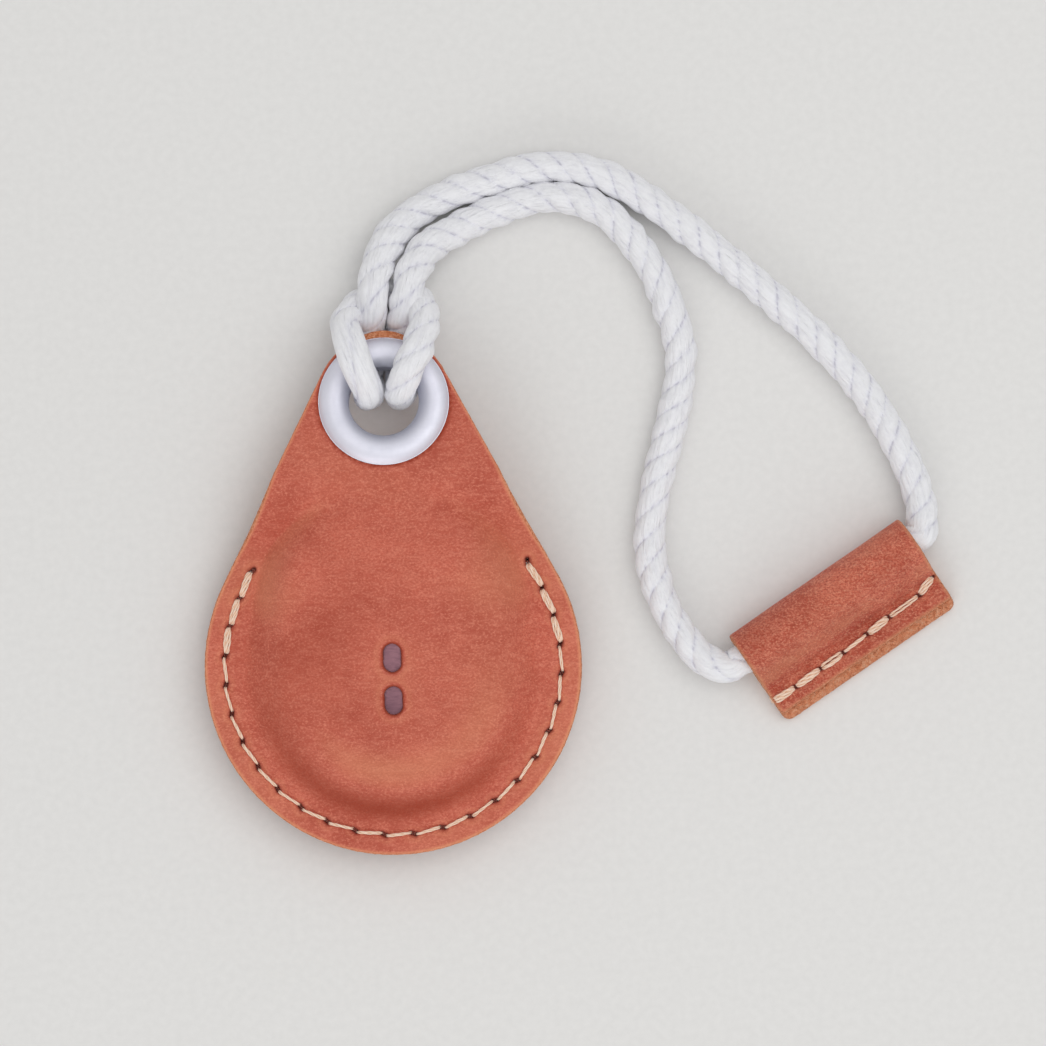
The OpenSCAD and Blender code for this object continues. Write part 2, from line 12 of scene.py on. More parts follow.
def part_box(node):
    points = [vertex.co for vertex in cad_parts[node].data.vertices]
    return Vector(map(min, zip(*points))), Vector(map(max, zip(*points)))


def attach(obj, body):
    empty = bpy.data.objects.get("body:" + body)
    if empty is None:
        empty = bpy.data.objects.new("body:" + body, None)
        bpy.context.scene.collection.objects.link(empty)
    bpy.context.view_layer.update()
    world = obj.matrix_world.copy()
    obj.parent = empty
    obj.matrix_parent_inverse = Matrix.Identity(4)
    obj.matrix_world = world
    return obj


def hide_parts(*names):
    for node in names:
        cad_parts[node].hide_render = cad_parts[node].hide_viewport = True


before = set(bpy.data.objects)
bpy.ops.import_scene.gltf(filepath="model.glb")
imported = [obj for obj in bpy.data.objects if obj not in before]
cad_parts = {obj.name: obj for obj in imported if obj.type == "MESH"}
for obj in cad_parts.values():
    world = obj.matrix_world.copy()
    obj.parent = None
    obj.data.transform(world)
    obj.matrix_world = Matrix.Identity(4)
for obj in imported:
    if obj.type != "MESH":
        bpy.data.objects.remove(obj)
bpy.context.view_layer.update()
MM = 0.001

# ---------------------------------------------------------------- sizes of the part's source, in mm
POUCH_R, NECK_R, NECK_REACH, NECK_SLOPE = 26.85, 9.7, 37.5, math.radians(12)
LEATHER_T, SEAM_Z, MOUTH_Y, MOUTH_LEAN = 1.4, 5.0, 13.6, math.radians(3.9)
SEAM_INSET, SEAM_HOLES, SEAM_END = 2.85, 26, math.radians(126)
SLOT_W, SLOT_L, SLOT_PITCH = 2.6, 4.1, 6.05
BORE_R, FLANGE_R, BARREL_T = 5.0, 9.3, 0.5
WASHER_R, WASHER_T, LIP_W, LIP_T = 8.8, 0.45, 1.4, 0.45
ROPE_R, WRAP_GAP = 2.35, 0.15
SLEEVE_L, SLEEVE_W, SLEEVE_SEAM, SLEEVE_STITCHES = 29.5, 14.7, 11.0, 7
SLEEVE_ANGLE, EDGE_STEP, SLEEVE_FLAT = math.radians(32.6), 0.9, 1.5
SLEEVE_ORIGIN = np.array([50.1, -0.6, 0.0])
TAG_R, TAG_H, TAG_GAP, TAG_DROP, TAG_TRAVEL = 15.95, 8.0, 0.15, 1.7, 10.0
DOME_INSET_SHARE, TAG_EDGE_SHARE = 0.5, 0.475
LOW_BORDER_SHARE, HIGH_BORDER_SHARE = 0.2, 0.46
BEND_L, BEND_MARGIN, SIDE_MARGIN = 4.7, 0.5, 2.1
DOUBLED_STITCHES = 3
TAG_Z = LEATHER_T + TAG_GAP
CEILING_Z = TAG_Z + TAG_H + TAG_GAP
TILT = math.asin((POUCH_R - NECK_R) / NECK_REACH)
BEND_END = NECK_REACH - FLANGE_R - BEND_MARGIN
BEND_START = BEND_END - BEND_L
SEAM_R = POUCH_R - SEAM_INSET
DOME_FLAT_R = TAG_R - DOME_INSET_SHARE * TAG_EDGE_SHARE * TAG_H
FALL_ROOM = SEAM_R - TAG_DROP - TAG_R
SIDE_START = SEAM_R * math.sin(SEAM_END - math.pi / 2) / math.cos(SEAM_END - math.pi / 2 - TILT) + SIDE_MARGIN
WRAP_R = ROPE_R + WRAP_GAP
FOLD_R = WRAP_R + LEATHER_T

# ---------------------------------------------------------------- sizes that only the looks have, in mm
HITCH_R = 2.3  # the rope in the hitch, thicker than the part's, whose passes need room
CROWN_H = 1.12  # the eyelet's flange, lower than the part's, so that the swinging rope clears it
LOWER_LIP = 0.4  # how far the sleeve's lower leather reaches past the part's
TIP_OUT = 0.6  # how far the rope draws the neck's tip out


# ---------------------------------------------------------------- camera
def add_camera():
    """Straight down, long lens, rolled as the photograph is; its frame is 149.4 mm wide at mid-height."""
    lens, sensor, width, focus_z = 180.0, 36.0, 149.4, 5.0
    aim_x, aim_y, roll = 0.0192, 0.0198, 1.98
    data = bpy.data.cameras.new("camera")
    data.lens, data.sensor_width = lens, sensor
    camera = bpy.data.objects.new("camera", data)
    bpy.context.scene.collection.objects.link(camera)
    camera.location = (aim_x, aim_y, (focus_z + width * lens / sensor) * MM)
    camera.rotation_euler = (0, 0, -math.radians(roll))
    data.clip_start, data.clip_end = 0.05, 10
    bpy.context.scene.camera = camera


add_camera()


# ---------------------------------------------------------------- small maths
def smooth(s):
    c = np.clip(s, 0, 1)
    return c * c * (3 - 2 * c)


def mix(a, b, s):
    return a + (b - a) * s


def unit(v):
    return v / np.maximum(np.linalg.norm(v, axis=-1, keepdims=True), 1e-12)


def band(value, centre, width):
    """Bell curve: 1 at the centre, near 0 two widths away."""
    return np.exp(-(((value - centre) / width) ** 2))


def lengths_along(path):
    return np.r_[0, np.cumsum(np.linalg.norm(np.diff(path, axis=0), axis=1))]


def ripple(points, size, seed, waves=9):
    """Smooth random field in about -1..1 with features of that size in mm."""
    rng = np.random.default_rng(seed)
    total = np.zeros(len(points))
    for _ in range(waves):
        direction = rng.normal(size=points.shape[1])
        direction /= np.linalg.norm(direction)
        rate = 2 * math.pi / (size * rng.uniform(0.8, 2.2))
        total += np.sin(points @ direction * rate + rng.uniform(0, 2 * math.pi))
    return total / math.sqrt(waves)


def spline(points, step):
    """Catmull-Rom curve through the points, resampled every step mm."""
    p = np.asarray(points, float)
    p = np.vstack([2 * p[0] - p[1], p, 2 * p[-1] - p[-2]])
    s = np.linspace(0, 1, 24, endpoint=False)[:, None]
    parts = []
    for a, b, c, d in zip(p, p[1:], p[2:], p[3:]):
        parts.append((2 * b + (c - a) * s + (2 * a - 5 * b + 4 * c - d) * s**2 + (3 * b - a - 3 * c + d) * s**3) / 2)
    curve = np.vstack(parts + [p[-2][None]])
    lengths = lengths_along(curve)
    count = max(2, int(round(lengths[-1] / step)) + 1)
    at = np.linspace(0, lengths[-1], count)
    return np.stack([np.interp(at, lengths, curve[:, k]) for k in range(3)], 1), at


def frames(path, up=(0, 0, 1)):
    """Two steady cross directions along a path, with no twist of their own."""
    tangent = unit(np.gradient(path, axis=0))
    side = np.zeros_like(path)
    v = np.asarray(up, float)
    for i, t in enumerate(tangent):
        v = v - (v @ t) * t
        v /= np.linalg.norm(v)
        side[i] = v
    return side, np.cross(tangent, side)


# ---------------------------------------------------------------- mesh helpers
def make_object(name, verts, faces, body, material, colors=None):
    """Mesh object from millimetres; colors is an (n, 4) point attribute."""
    mesh = bpy.data.meshes.new(name)
    mesh.from_pydata((np.asarray(verts) * MM).tolist(), [], faces)
    mesh.update()
    if colors is not None:
        layer = mesh.color_attributes.new("coat", "FLOAT_COLOR", "POINT")
        layer.data.foreach_set("color", np.asarray(colors, np.float32).ravel())
    for poly in mesh.polygons:
        poly.use_smooth = True
    obj = bpy.data.objects.new(name, mesh)
    bpy.context.scene.collection.objects.link(obj)
    if material:
        mesh.materials.append(material)
    if body:
        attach(obj, body)
    return obj


def tube_faces(rings, sides):
    """Faces of a tube of rings with that many points each, closed at both ends."""
    faces = []
    for a in range(0, (rings - 1) * sides, sides):
        b = a + sides
        faces += [(a + k, a + (k + 1) % sides, b + (k + 1) % sides, b + k) for k in range(sides)]
    faces.append(tuple(range(sides - 1, -1, -1)))
    faces.append(tuple(range((rings - 1) * sides, rings * sides)))
    return faces


def outward(obj):
    """Turns every face outward."""
    bm = bmesh.new()
    bm.from_mesh(obj.data)
    bmesh.ops.recalc_face_normals(bm, faces=bm.faces)
    bm.to_mesh(obj.data)
    bm.free()
    return obj


# ---------------------------------------------------------------- material helpers
def rgb(code):
    """Linear colour of a hex code, with alpha."""
    parts = [int(code[i : i + 2], 16) / 255 for i in (1, 3, 5)]
    return tuple(c / 12.92 if c <= 0.04045 else ((c + 0.055) / 1.055) ** 2.4 for c in parts) + (1.0,)


class Paint:
    """A material and the few kinds of node that it is built from."""

    def __init__(self, name, metallic=0.0, **sockets):
        self.mat = bpy.data.materials.new(name)
        self.mat.use_nodes = True
        self.nodes, self.links = self.mat.node_tree.nodes, self.mat.node_tree.links
        self.bsdf = self.nodes["Principled BSDF"]
        self.bsdf.inputs["Metallic"].default_value = metallic
        for socket, value in sockets.items():
            self.bsdf.inputs[socket.replace("_", " ")].default_value = value
        self.place = self.nodes.new("ShaderNodeTexCoord").outputs["Object"]

    def put(self, value, socket):
        if hasattr(value, "is_linked"):
            self.links.new(value, socket)
        else:
            socket.default_value = value

    def add(self, kind, inputs, **settings):
        """Outputs of a new node; inputs holds a value or a link for each socket."""
        node = self.nodes.new("ShaderNode" + kind)
        for name, value in settings.items():
            setattr(node, name, value)
        for socket, value in inputs.items():
            self.put(value, node.inputs[socket])
        return node.outputs

    def stretched(self, scale, vector=None):
        return self.add("Mapping", {"Scale": scale, "Vector": vector or self.place})["Vector"]

    def noise(self, scale, detail=3.0, rough=0.55, vector=None, distortion=0.0):
        inputs = {"Scale": scale, "Detail": detail, "Roughness": rough, "Distortion": distortion}
        return self.add("TexNoise", {**inputs, "Vector": vector or self.place})["Fac"]

    def cells(self, scale, vector=None, feature="F1"):
        return self.add("TexVoronoi", {"Scale": scale, "Vector": vector or self.place}, feature=feature)["Distance"]

    def attribute(self, name):
        return self.add("Attribute", {}, attribute_name=name)

    def parts(self, vector):
        return self.add("SeparateXYZ", {0: vector})

    def math(self, kind, a, b=0.0):
        return self.add("Math", {0: a, 1: b}, operation=kind)[0]

    def length(self, x, y):
        return self.math("SQRT", self.math("ADD", self.math("MULTIPLY", x, x), self.math("MULTIPLY", y, y)))

    def span(self, value, low, high, to_low=0.0, to_high=1.0):
        inputs = {"Value": value, "From Min": low, "From Max": high, "To Min": to_low, "To Max": to_high}
        return self.add("MapRange", inputs, clamp=True)["Result"]

    def ramp(self, value, stops):
        node = self.nodes.new("ShaderNodeValToRGB")
        elements = node.color_ramp.elements
        while len(elements) < len(stops):
            elements.new(0.5)
        for element, (at, code) in zip(elements, stops):
            element.position, element.color = at, rgb(code)
        self.put(value, node.inputs["Fac"])
        return node.outputs["Color"]

    def blend(self, share, a, b):
        a, b = (rgb(c) if isinstance(c, str) else c for c in (a, b))
        return self.add("Mix", {0: share, 6: a, 7: b}, data_type="RGBA")[2]

    def clouded(self, cloud, share, code, dark_code):
        """The colour with soft clouds of the darker one."""
        return self.blend(self.span(cloud, 0.35, 0.7, 0.0, share), code, dark_code)

    def bump(self, height, depth, under=None):
        """Relief of that depth in mm."""
        inputs = {"Strength": 1.0, "Distance": depth * MM, "Height": height}
        if under:
            inputs["Normal"] = under
        return self.add("Bump", inputs)["Normal"]

    def finish(self, color, roughness, normal=None):
        self.put(color, self.bsdf.inputs["Base Color"])
        self.put(roughness, self.bsdf.inputs["Roughness"])
        if normal:
            self.put(normal, self.bsdf.inputs["Normal"])
        return self.mat


# ---------------------------------------------------------------- soft materials
# dark and light ends of the tone, which carry painted shade and painted light, and the painted shade in the awl holes
# and on the openings' walls
DARK_TONE_AND_SHADE, LIGHT_TONE_AND_HIGHLIGHT, HOLE_SHADE_CODE = "#982F0C", "#EB9871", "#7C2A1A"
FLESH_STOPS = [(0.34, "#C8704A"), (0.5, "#F29E74"), (0.68, "#FFCDAA")]


def leather_material(name, base, dark, light, grain, depth, raw_codes, contrast=0.6):
    """Vegetable-tanned leather: coat holds cut edge, flesh side, tone with painted shade and painted light, and the
    painted shade of the awl holes.
    """
    p = Paint(name, Specular_IOR_Level=0.32, Sheen_Weight=0.06, Sheen_Roughness=0.4)
    coat = p.attribute("coat")
    split = p.parts(coat["Color"])
    edge, flesh, tone, hole_shade = split[0], split[1], split[2], coat["Alpha"]
    nap = p.stretched((1.0, 2.6, 1.0))
    mottle = p.noise(95, 4, 0.6)
    streak = p.noise(520, 5, 0.62, nap)
    fine = p.noise(2300, 4, 0.65, nap)
    pebble = p.noise(grain, 3, 0.7, p.stretched((1.0, 1.3, 1.0)))
    color = p.blend(p.span(mottle, 0.36, 0.66), dark, base)
    color = p.blend(p.span(streak, 0.42, 0.74, 0.0, 0.42), color, light)
    color = p.blend(p.span(fine, 0.34, 0.52, 0.34, 0.0), color, dark)
    color = p.blend(p.span(pebble, 0.36, 0.5, contrast, 0.0), color, dark)
    color = p.blend(p.span(pebble, 0.51, 0.66, 0.0, contrast), color, light)
    # the tone darkens into painted shade and lightens into painted light
    color = p.blend(p.span(tone, 0.5, 0.0, 0.0, 1.0), color, DARK_TONE_AND_SHADE)
    color = p.blend(p.span(tone, 0.5, 1.0, 0.0, 1.0), color, LIGHT_TONE_AND_HIGHLIGHT)
    fibres = p.noise(1500, 6, 0.75, distortion=0.6)
    color = p.blend(flesh, color, p.ramp(fibres, FLESH_STOPS))
    raw = p.noise(2600, 5, 0.8, p.stretched((1.0, 1.0, 2.2)))
    color = p.blend(edge, color, p.ramp(raw, list(zip((0.36, 0.49, 0.62), raw_codes))))
    # painted shade in and round the awl holes and on the openings' walls
    color = p.blend(hole_shade, color, HOLE_SHADE_CODE)
    rough = p.span(p.math("ADD", mottle, streak), 0.7, 1.3, 0.62, 0.5)
    rough = p.math("MAXIMUM", rough, p.math("MULTIPLY", p.math("MAXIMUM", edge, flesh), 0.88))
    relief = p.bump(pebble, depth)
    relief = p.bump(streak, 0.12, relief)
    relief = p.bump(p.math("MULTIPLY", fibres, p.math("MAXIMUM", flesh, edge)), 0.2, relief)
    return p.finish(color, rough, relief)


def yarn_material(name, shade_and_yarn_code, mid_code, crest_code, scale, depth, gloss, broken=0.0):
    """Twisted yarn: coat.R is the groove between strands, painted in shade, yarn the place in the untwisted rope, in
    mm.
    """
    p = Paint(name, Specular_IOR_Level=0.2, Sheen_Weight=gloss, Sheen_Roughness=0.5)
    groove = p.parts(p.attribute("coat")["Color"])[0]
    place = p.attribute("yarn")["Vector"]
    yarns = p.noise(scale, 3, 0.6, place, 0.25)
    hairs = p.noise(scale * 3.1, 4, 0.7, place, 0.3)
    if broken:
        gaps = p.noise(scale * 0.9, 2, 0.5, p.stretched((1.0, 1.0, 1.6), place), 0.4)
        groove = p.math("MULTIPLY", groove, p.span(gaps, 0.4, 0.62, 1.0 - broken, 1.0))
    # painted shade: the colour darkens from the strands' crests into the grooves between them; the dark colour also
    # marks yarns
    color = p.ramp(groove, [(0.0, crest_code), (0.42, mid_code), (1.0, shade_and_yarn_code)])
    color = p.blend(p.span(yarns, 0.3, 0.46, 0.2, 0.0), color, shade_and_yarn_code)
    color = p.blend(p.span(p.noise(950, 3, 0.6), 0.36, 0.56, 0.1, 0.0), color, shade_and_yarn_code)
    color = p.blend(p.span(hairs, 0.5, 0.75, 0.0, 0.35), color, "#FFFFFF")
    relief = p.bump(p.span(yarns, 0.28, 0.62), depth)
    relief = p.bump(hairs, depth * 0.7, relief)
    return p.finish(color, p.span(hairs, 0.3, 0.7, 0.95, 0.8), relief)


EDGE_CODES = ("#A04A22", "#DC8556", "#F8BE98")
SLEEVE_EDGE_CODES = ("#AE5A34", "#E59466", "#FFC6A0")
LEATHER = leather_material("leather_front", "#D26A53", "#B9533F", "#EC8F75", 2700, 0.18, EDGE_CODES)
POCKET_LEATHER = leather_material("leather_back", "#BF6048", "#A84E39", "#CF785B", 2300, 0.1, EDGE_CODES)
SLEEVE_LEATHER = leather_material(
    "leather_sleeve", "#F08063", "#BE4C37", "#FFAC8C", 3000, 0.5, SLEEVE_EDGE_CODES, contrast=0.75
)
ROPE = yarn_material("cotton_rope", "#CBC9D6", "#F0F0F7", "#F9F9FC", 1.7, 0.14, 0.2, broken=0.85)
# the thread inside the awl holes, painted dark red-brown as the shade in the holes
HOLE_SHADED_THREAD = yarn_material("thread_in_hole_shade", "#6A2818", "#964232", "#A85340", 6.0, 0.02, 0.1)
THREAD = yarn_material("waxed_thread", "#D9A784", "#F2CCAE", "#FAE0CA", 6.0, 0.02, 0.1)


# ---------------------------------------------------------------- rope
def sleeve_point(x, y, z):
    c, s = math.cos(SLEEVE_ANGLE), math.sin(SLEEVE_ANGLE)
    return SLEEVE_ORIGIN + np.array([c * x - s * y, s * x + c * y, z])


def in_sleeve(share):
    return sleeve_point(SLEEVE_L * share, 0, LEATHER_T + WRAP_R).tolist()


OUTER_ROUTE = [in_sleeve(1 / 2), in_sleeve(3 / 4), in_sleeve(1)] + [
    [76.2, 17.6, 3.5], [76, 21.6, 2.8], [73.8, 28, 2.4], [68.8, 37, 2.4], [61.6, 45.4, 2.4], [53, 53.6, 2.4],
    [44.4, 61, 2.4], [35.8, 67.4, 2.4], [30, 70, 2.4], [23.6, 70.7, 2.4], [17.2, 69.4, 2.4], [11.6, 67.7, 2.4],
    [6.4, 65.4, 2.4], [3, 62.8, 2.9],
]  # fmt: skip
HITCH_ROUTE = [
    [0.9, 60, 4.0], [-0.5, 56.6, 5.4], [-1.1, 53.4, 6.3], [-1.3, 50.9, 5.5], [-1.75, 48.5, 3.1], [-2.1, 45, 2.2],
    [-2.2, 41.5, 2.3], [-2.2, 39.1, 4.3], [-2.2, 38.9, 7], [-2.3, 39.7, 9.8], [-3.1, 42.2, 11.35], [-4.2, 45.2, 10.8],
    [-5, 47.5, 9], [-5, 49.2, 6.8], [-4.1, 50.8, 4.5], [-2.2, 52.2, 2.8], [1, 53.1, 2.3], [3.6, 53.1, 2.5],
    [5.3, 52.2, 4], [6.1, 50.6, 6.2], [6.2, 48.9, 8.2], [5.7, 46.8, 10], [4.9, 44.6, 11.1], [3.6, 42, 11.35],
    [2.6, 39.7, 9.8], [2.35, 38.9, 7], [2.3, 39.1, 4.3], [2.3, 41.5, 2.3], [2.5, 45, 2.2], [2.75, 48.5, 3.1],
    [3.3, 50.9, 5.5], [3.9, 53.4, 6.3], [4.9, 56.6, 5.4], [7.2, 59.8, 4.0],
]  # fmt: skip
INNER_ROUTE = [
    [10.6, 61.8, 2.9], [14, 63.5, 2.4], [18, 65.1, 2.4], [23, 66.3, 2.4], [27.2, 66.1, 2.4], [31.2, 64.6, 2.4],
    [34.8, 61.6, 2.4], [39.4, 54.8, 2.4], [42.2, 46.4, 2.4], [42.4, 40.4, 2.4], [40.6, 32.2, 2.4], [38.2, 23.4, 2.4],
    [37.3, 15.6, 2.4], [38.6, 8.6, 2.4], [41.4, 3, 2.7], [44.8, -0.8, 3.3], [48, -1.7, 3.7],
] + [in_sleeve(0), in_sleeve(1 / 4), in_sleeve(1 / 2)]  # fmt: skip


YARN_STRETCH = 9  # how much longer than thick the marks along a yarn are


def twisted_tube(
    path, radius, strands, lay, sides, fullness, squash=1.0, up=(0, 0, 1), phase=0.0, uneven=0.0, seed=0
):
    """Laid rope or thread along a path in mm: vertices, faces, coat (groove mask) and yarn places."""
    radius = np.broadcast_to(np.asarray(radius, float), len(path))
    side, cross = frames(path, up)
    s = lengths_along(path)
    bead = np.arange(sides) / sides * 2 * math.pi
    local = (bead * strands / (2 * math.pi)) % 1 * 2 * math.pi / strands - math.pi / strands
    share = 1 / (1 + fullness)
    bore, round_r = share, 1 - share
    profile = bore * np.cos(local) + np.sqrt(np.maximum(round_r**2 - (bore * np.sin(local)) ** 2, 0.01))
    groove = (1 - profile) / (1 - profile.min())
    profile = profile - 0.025 * band(np.abs(local), math.pi / strands, 0.13)
    which = (bead * strands / (2 * math.pi)).astype(int)
    wound = np.r_[0, np.cumsum(np.diff(s) / np.broadcast_to(lay, s.shape)[1:])]
    swell = np.ones((len(path), sides))
    if uneven:
        for k in range(strands):
            wave = ripple(wound[:, None], 0.35, seed + 7 * k)
            swell[:, which == k] += uneven * wave[:, None] * (1 - groove[which == k])[None, :]
    turn = bead[None, :] + 2 * math.pi * wound[:, None] + phase
    r = radius[:, None] * profile[None, :] * swell
    a, b = r * np.cos(turn) * squash, r * np.sin(turn)
    verts = path[:, None, :] + a[..., None] * side[:, None, :] + b[..., None] * cross[:, None, :]
    yarn = np.stack([r * np.cos(turn), r * np.sin(turn), np.broadcast_to(s[:, None] / YARN_STRETCH, r.shape)], -1)
    coat = np.zeros((len(path), sides, 4))
    coat[..., 0] = groove[None, :] ** 2.5
    coat[..., 3] = 1
    return verts.reshape(-1, 3), tube_faces(len(path), sides), coat.reshape(-1, 4), yarn.reshape(-1, 3)


def yarn_object(name, tubes, body, material):
    """One object from several twisted tubes."""
    verts, faces, coats, yarns, count = [], [], [], [], 0
    for v, f, c, y in tubes:
        faces += [tuple(i + count for i in face) for face in f]
        verts.append(v)
        coats.append(c)
        yarns.append(y + [0, 0, 3.7 * len(yarns)])
        count += len(v)
    obj = make_object(name, np.vstack(verts), faces, body, material, np.vstack(coats))
    layer = obj.data.attributes.new("yarn", "FLOAT_VECTOR", "POINT")
    layer.data.foreach_set("vector", np.vstack(yarns).astype(np.float32).ravel())
    return obj


ROPE_LAY, SLACK_LAY = 11.1, 34.0  # mm for one turn of a strand, and where the left leg is untwisted
LEG_PHASE = 1.96  # where the strands lie as the left leg begins
LEG_RINGS = (8, 13)  # points of HITCH_ROUTE between which that leg lies


def add_rope():
    """The loop: one rope from the sleeve, through the cow hitch on the eyelet and back into the sleeve."""
    route = OUTER_ROUTE + HITCH_ROUTE + INNER_ROUTE
    path, s = spline(route, 0.45)

    def reached(k):
        return s[np.argmin(np.linalg.norm(path - HITCH_ROUTE[k], axis=1))]

    first, last = reached(0), reached(-1)
    beside = np.minimum(np.abs(s - first), np.abs(s - last))
    radius = mix(HITCH_R, ROPE_R, smooth(np.maximum(first - s, s - last) / 6)) + 0.24 * band(beside, 0, 6)
    radius = radius * (1 + 0.025 * ripple(s[:, None], 9, 41))
    leg = [reached(k) for k in LEG_RINGS]
    slack = smooth((s - leg[0] + 2) / 4) * smooth((leg[1] - s) / 4)
    lay = mix(ROPE_LAY, SLACK_LAY, slack) * (1 + 0.06 * ripple(s[:, None], 17, 43))
    turns = np.sum((np.diff(s) / lay[1:])[s[1:] <= leg[0]])
    phase = LEG_PHASE - 2 * math.pi * turns
    tube = twisted_tube(path, radius, 3, lay, 84, 4.2, phase=phase, uneven=0.05, seed=5)
    tube[0][:, 2] = np.maximum(tube[0][:, 2], 0)
    rope = yarn_object("rope", [tube], "loop", ROPE)
    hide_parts("rope_hitch", "rope_outer_run", "rope_inner_run")
    return rope


add_rope()


# ---------------------------------------------------------------- the pouch's shape, as the part's source has it
def ridge_z(y):
    bend = CEILING_Z - math.tan(NECK_SLOPE) * (y - BEND_START) ** 2 / (2 * BEND_L)
    slope = CEILING_Z - math.tan(NECK_SLOPE) * (y - BEND_END + BEND_L / 2)
    return np.where(y < BEND_START, CEILING_Z, np.where(y < BEND_END, bend, slope))


def side_z(y):
    return mix(SEAM_Z, ridge_z(y), smooth((y - SIDE_START) / (BEND_END - SIDE_START)))


def fall(p):
    near = np.clip(p[:, 1], -TAG_DROP, TAG_TRAVEL - TAG_DROP)
    away = np.hypot(p[:, 0], p[:, 1] - near)
    border = mix(LOW_BORDER_SHARE, HIGH_BORDER_SHARE, smooth(p[:, 1] / MOUTH_Y))
    end = TAG_R + (1 - border) * FALL_ROOM
    return smooth((end - away) / (end - DOME_FLAT_R))


def front_z(p):
    return mix(side_z(p[:, 1]), ridge_z(p[:, 1]), fall(p))


def pocket_z(p):
    return mix(SEAM_Z, LEATHER_T, fall(p))


def lifted(height, away):
    """Lift for a sheet on a height field: inner face and the unit normal towards the outer face.

    The slope is taken over 2 mm, so that the outer face doesn't fold where the dome meets the rim."""

    def lift(p):
        step = 1.0
        gx = (height(p + [step, 0]) - height(p - [step, 0])) / (2 * step)
        gy = (height(p + [0, step]) - height(p - [0, step])) / (2 * step)
        return np.column_stack([p, height(p)]), away * unit(np.column_stack([-gx, -gy, np.ones(len(p))]))

    return lift


def seam_point(i):
    a = SEAM_END * (2 * i / (SEAM_HOLES - 1) - 1)
    past = max(0, abs(a) - math.pi / 2 - TILT)
    return SEAM_R / math.cos(past) * np.array([math.sin(a), -math.cos(a)])


HOLES = np.array([seam_point(i) for i in range(SEAM_HOLES)])
RUNS = unit(np.gradient(HOLES, axis=0))
TURN = math.radians(-25)
SLITS = RUNS @ np.array([[math.cos(TURN), math.sin(TURN)], [-math.sin(TURN), math.cos(TURN)]])


def doubled(i):
    """Whether stitch i, counted along the seam, is one of the heavy ones near its ends."""
    return i < DOUBLED_STITCHES or i >= SEAM_HOLES - 1 - DOUBLED_STITCHES


def wide_hole(i):
    return doubled(i) or doubled(max(i - 1, 0))


# ---------------------------------------------------------------- leather sheets
def resample(loop, step):
    """Closed polygon, evenly spaced, counterclockwise."""
    p = np.vstack([loop, loop[:1]])
    s = lengths_along(p)
    at = np.linspace(0, s[-1], max(8, int(round(s[-1] / step))), endpoint=False)
    out = np.stack([np.interp(at, s, p[:, k]) for k in range(2)], 1)
    area = np.sum(out[:, 0] * np.roll(out[:, 1], -1) - out[:, 1] * np.roll(out[:, 0], -1))
    return out if area > 0 else out[::-1]


def inward(loop, distance):
    """Ring at that distance to the left of a counterclockwise loop."""
    run = unit(np.roll(loop, -1, 0) - np.roll(loop, 1, 0))
    return loop + distance * np.column_stack([-run[:, 1], run[:, 0]])


def inside(points, loop):
    x, y = points[:, 0], points[:, 1]
    found = np.zeros(len(points), bool)
    for (ax, ay), (bx, by) in zip(loop, np.roll(loop, -1, 0)):
        if ay != by:
            found ^= ((ay > y) != (by > y)) & (x < (bx - ax) * (y - ay) / (by - ay) + ax)
    return found


def nearest(points, targets):
    out = np.empty(len(points))
    for i in range(0, len(points), 2000):
        part = points[i : i + 2000]
        out[i : i + 2000] = np.sqrt(((part[:, None] - targets[None]) ** 2).sum(-1).min(1))
    return out


def capsule(centre, along, length, width, count):
    """Round-ended slot as a loop."""
    angle = np.arange(count) / count * 2 * math.pi + math.pi / count
    across = np.array([-along[1], along[0]])
    end = np.sign(np.cos(angle))[:, None] * (length - width) / 2 * along
    return centre + end + width / 2 * (np.cos(angle)[:, None] * along + np.sin(angle)[:, None] * across)


def hexes(low, high, pitch):
    rows = np.arange(low[1], high[1], pitch * math.sqrt(3) / 2)
    cols = np.arange(low[0], high[0], pitch)
    out = [np.column_stack([cols + (pitch / 2 if j % 2 else 0), np.full(len(cols), y)]) for j, y in enumerate(rows)]
    return np.vstack(out)


def drop(edge, radius):
    """How far a cut edge of that radius falls off, at that distance from the cut."""
    return radius - np.sqrt(np.maximum(radius**2 - np.maximum(radius - edge, 0) ** 2, 0))


OUTLINE_STEP, CUT_STEP = 0.36, 0.15  # spacing of an outline's points, and of the points that distances are taken to
CUT_RINGS, SLIT_RINGS = (0.05, 0.12, 0.22, 0.36, 0.6), (0.07, 0.16, 0.3, 0.5)  # rings of points beside each cut
CUT_ROOM, SLIT_ROOM = 0.75, 0.62  # how near to the cuts the even filling comes
WALL_SHARES = (0.25, 0.5, 0.75)  # rows of points down a cut wall
FAR = 9.0


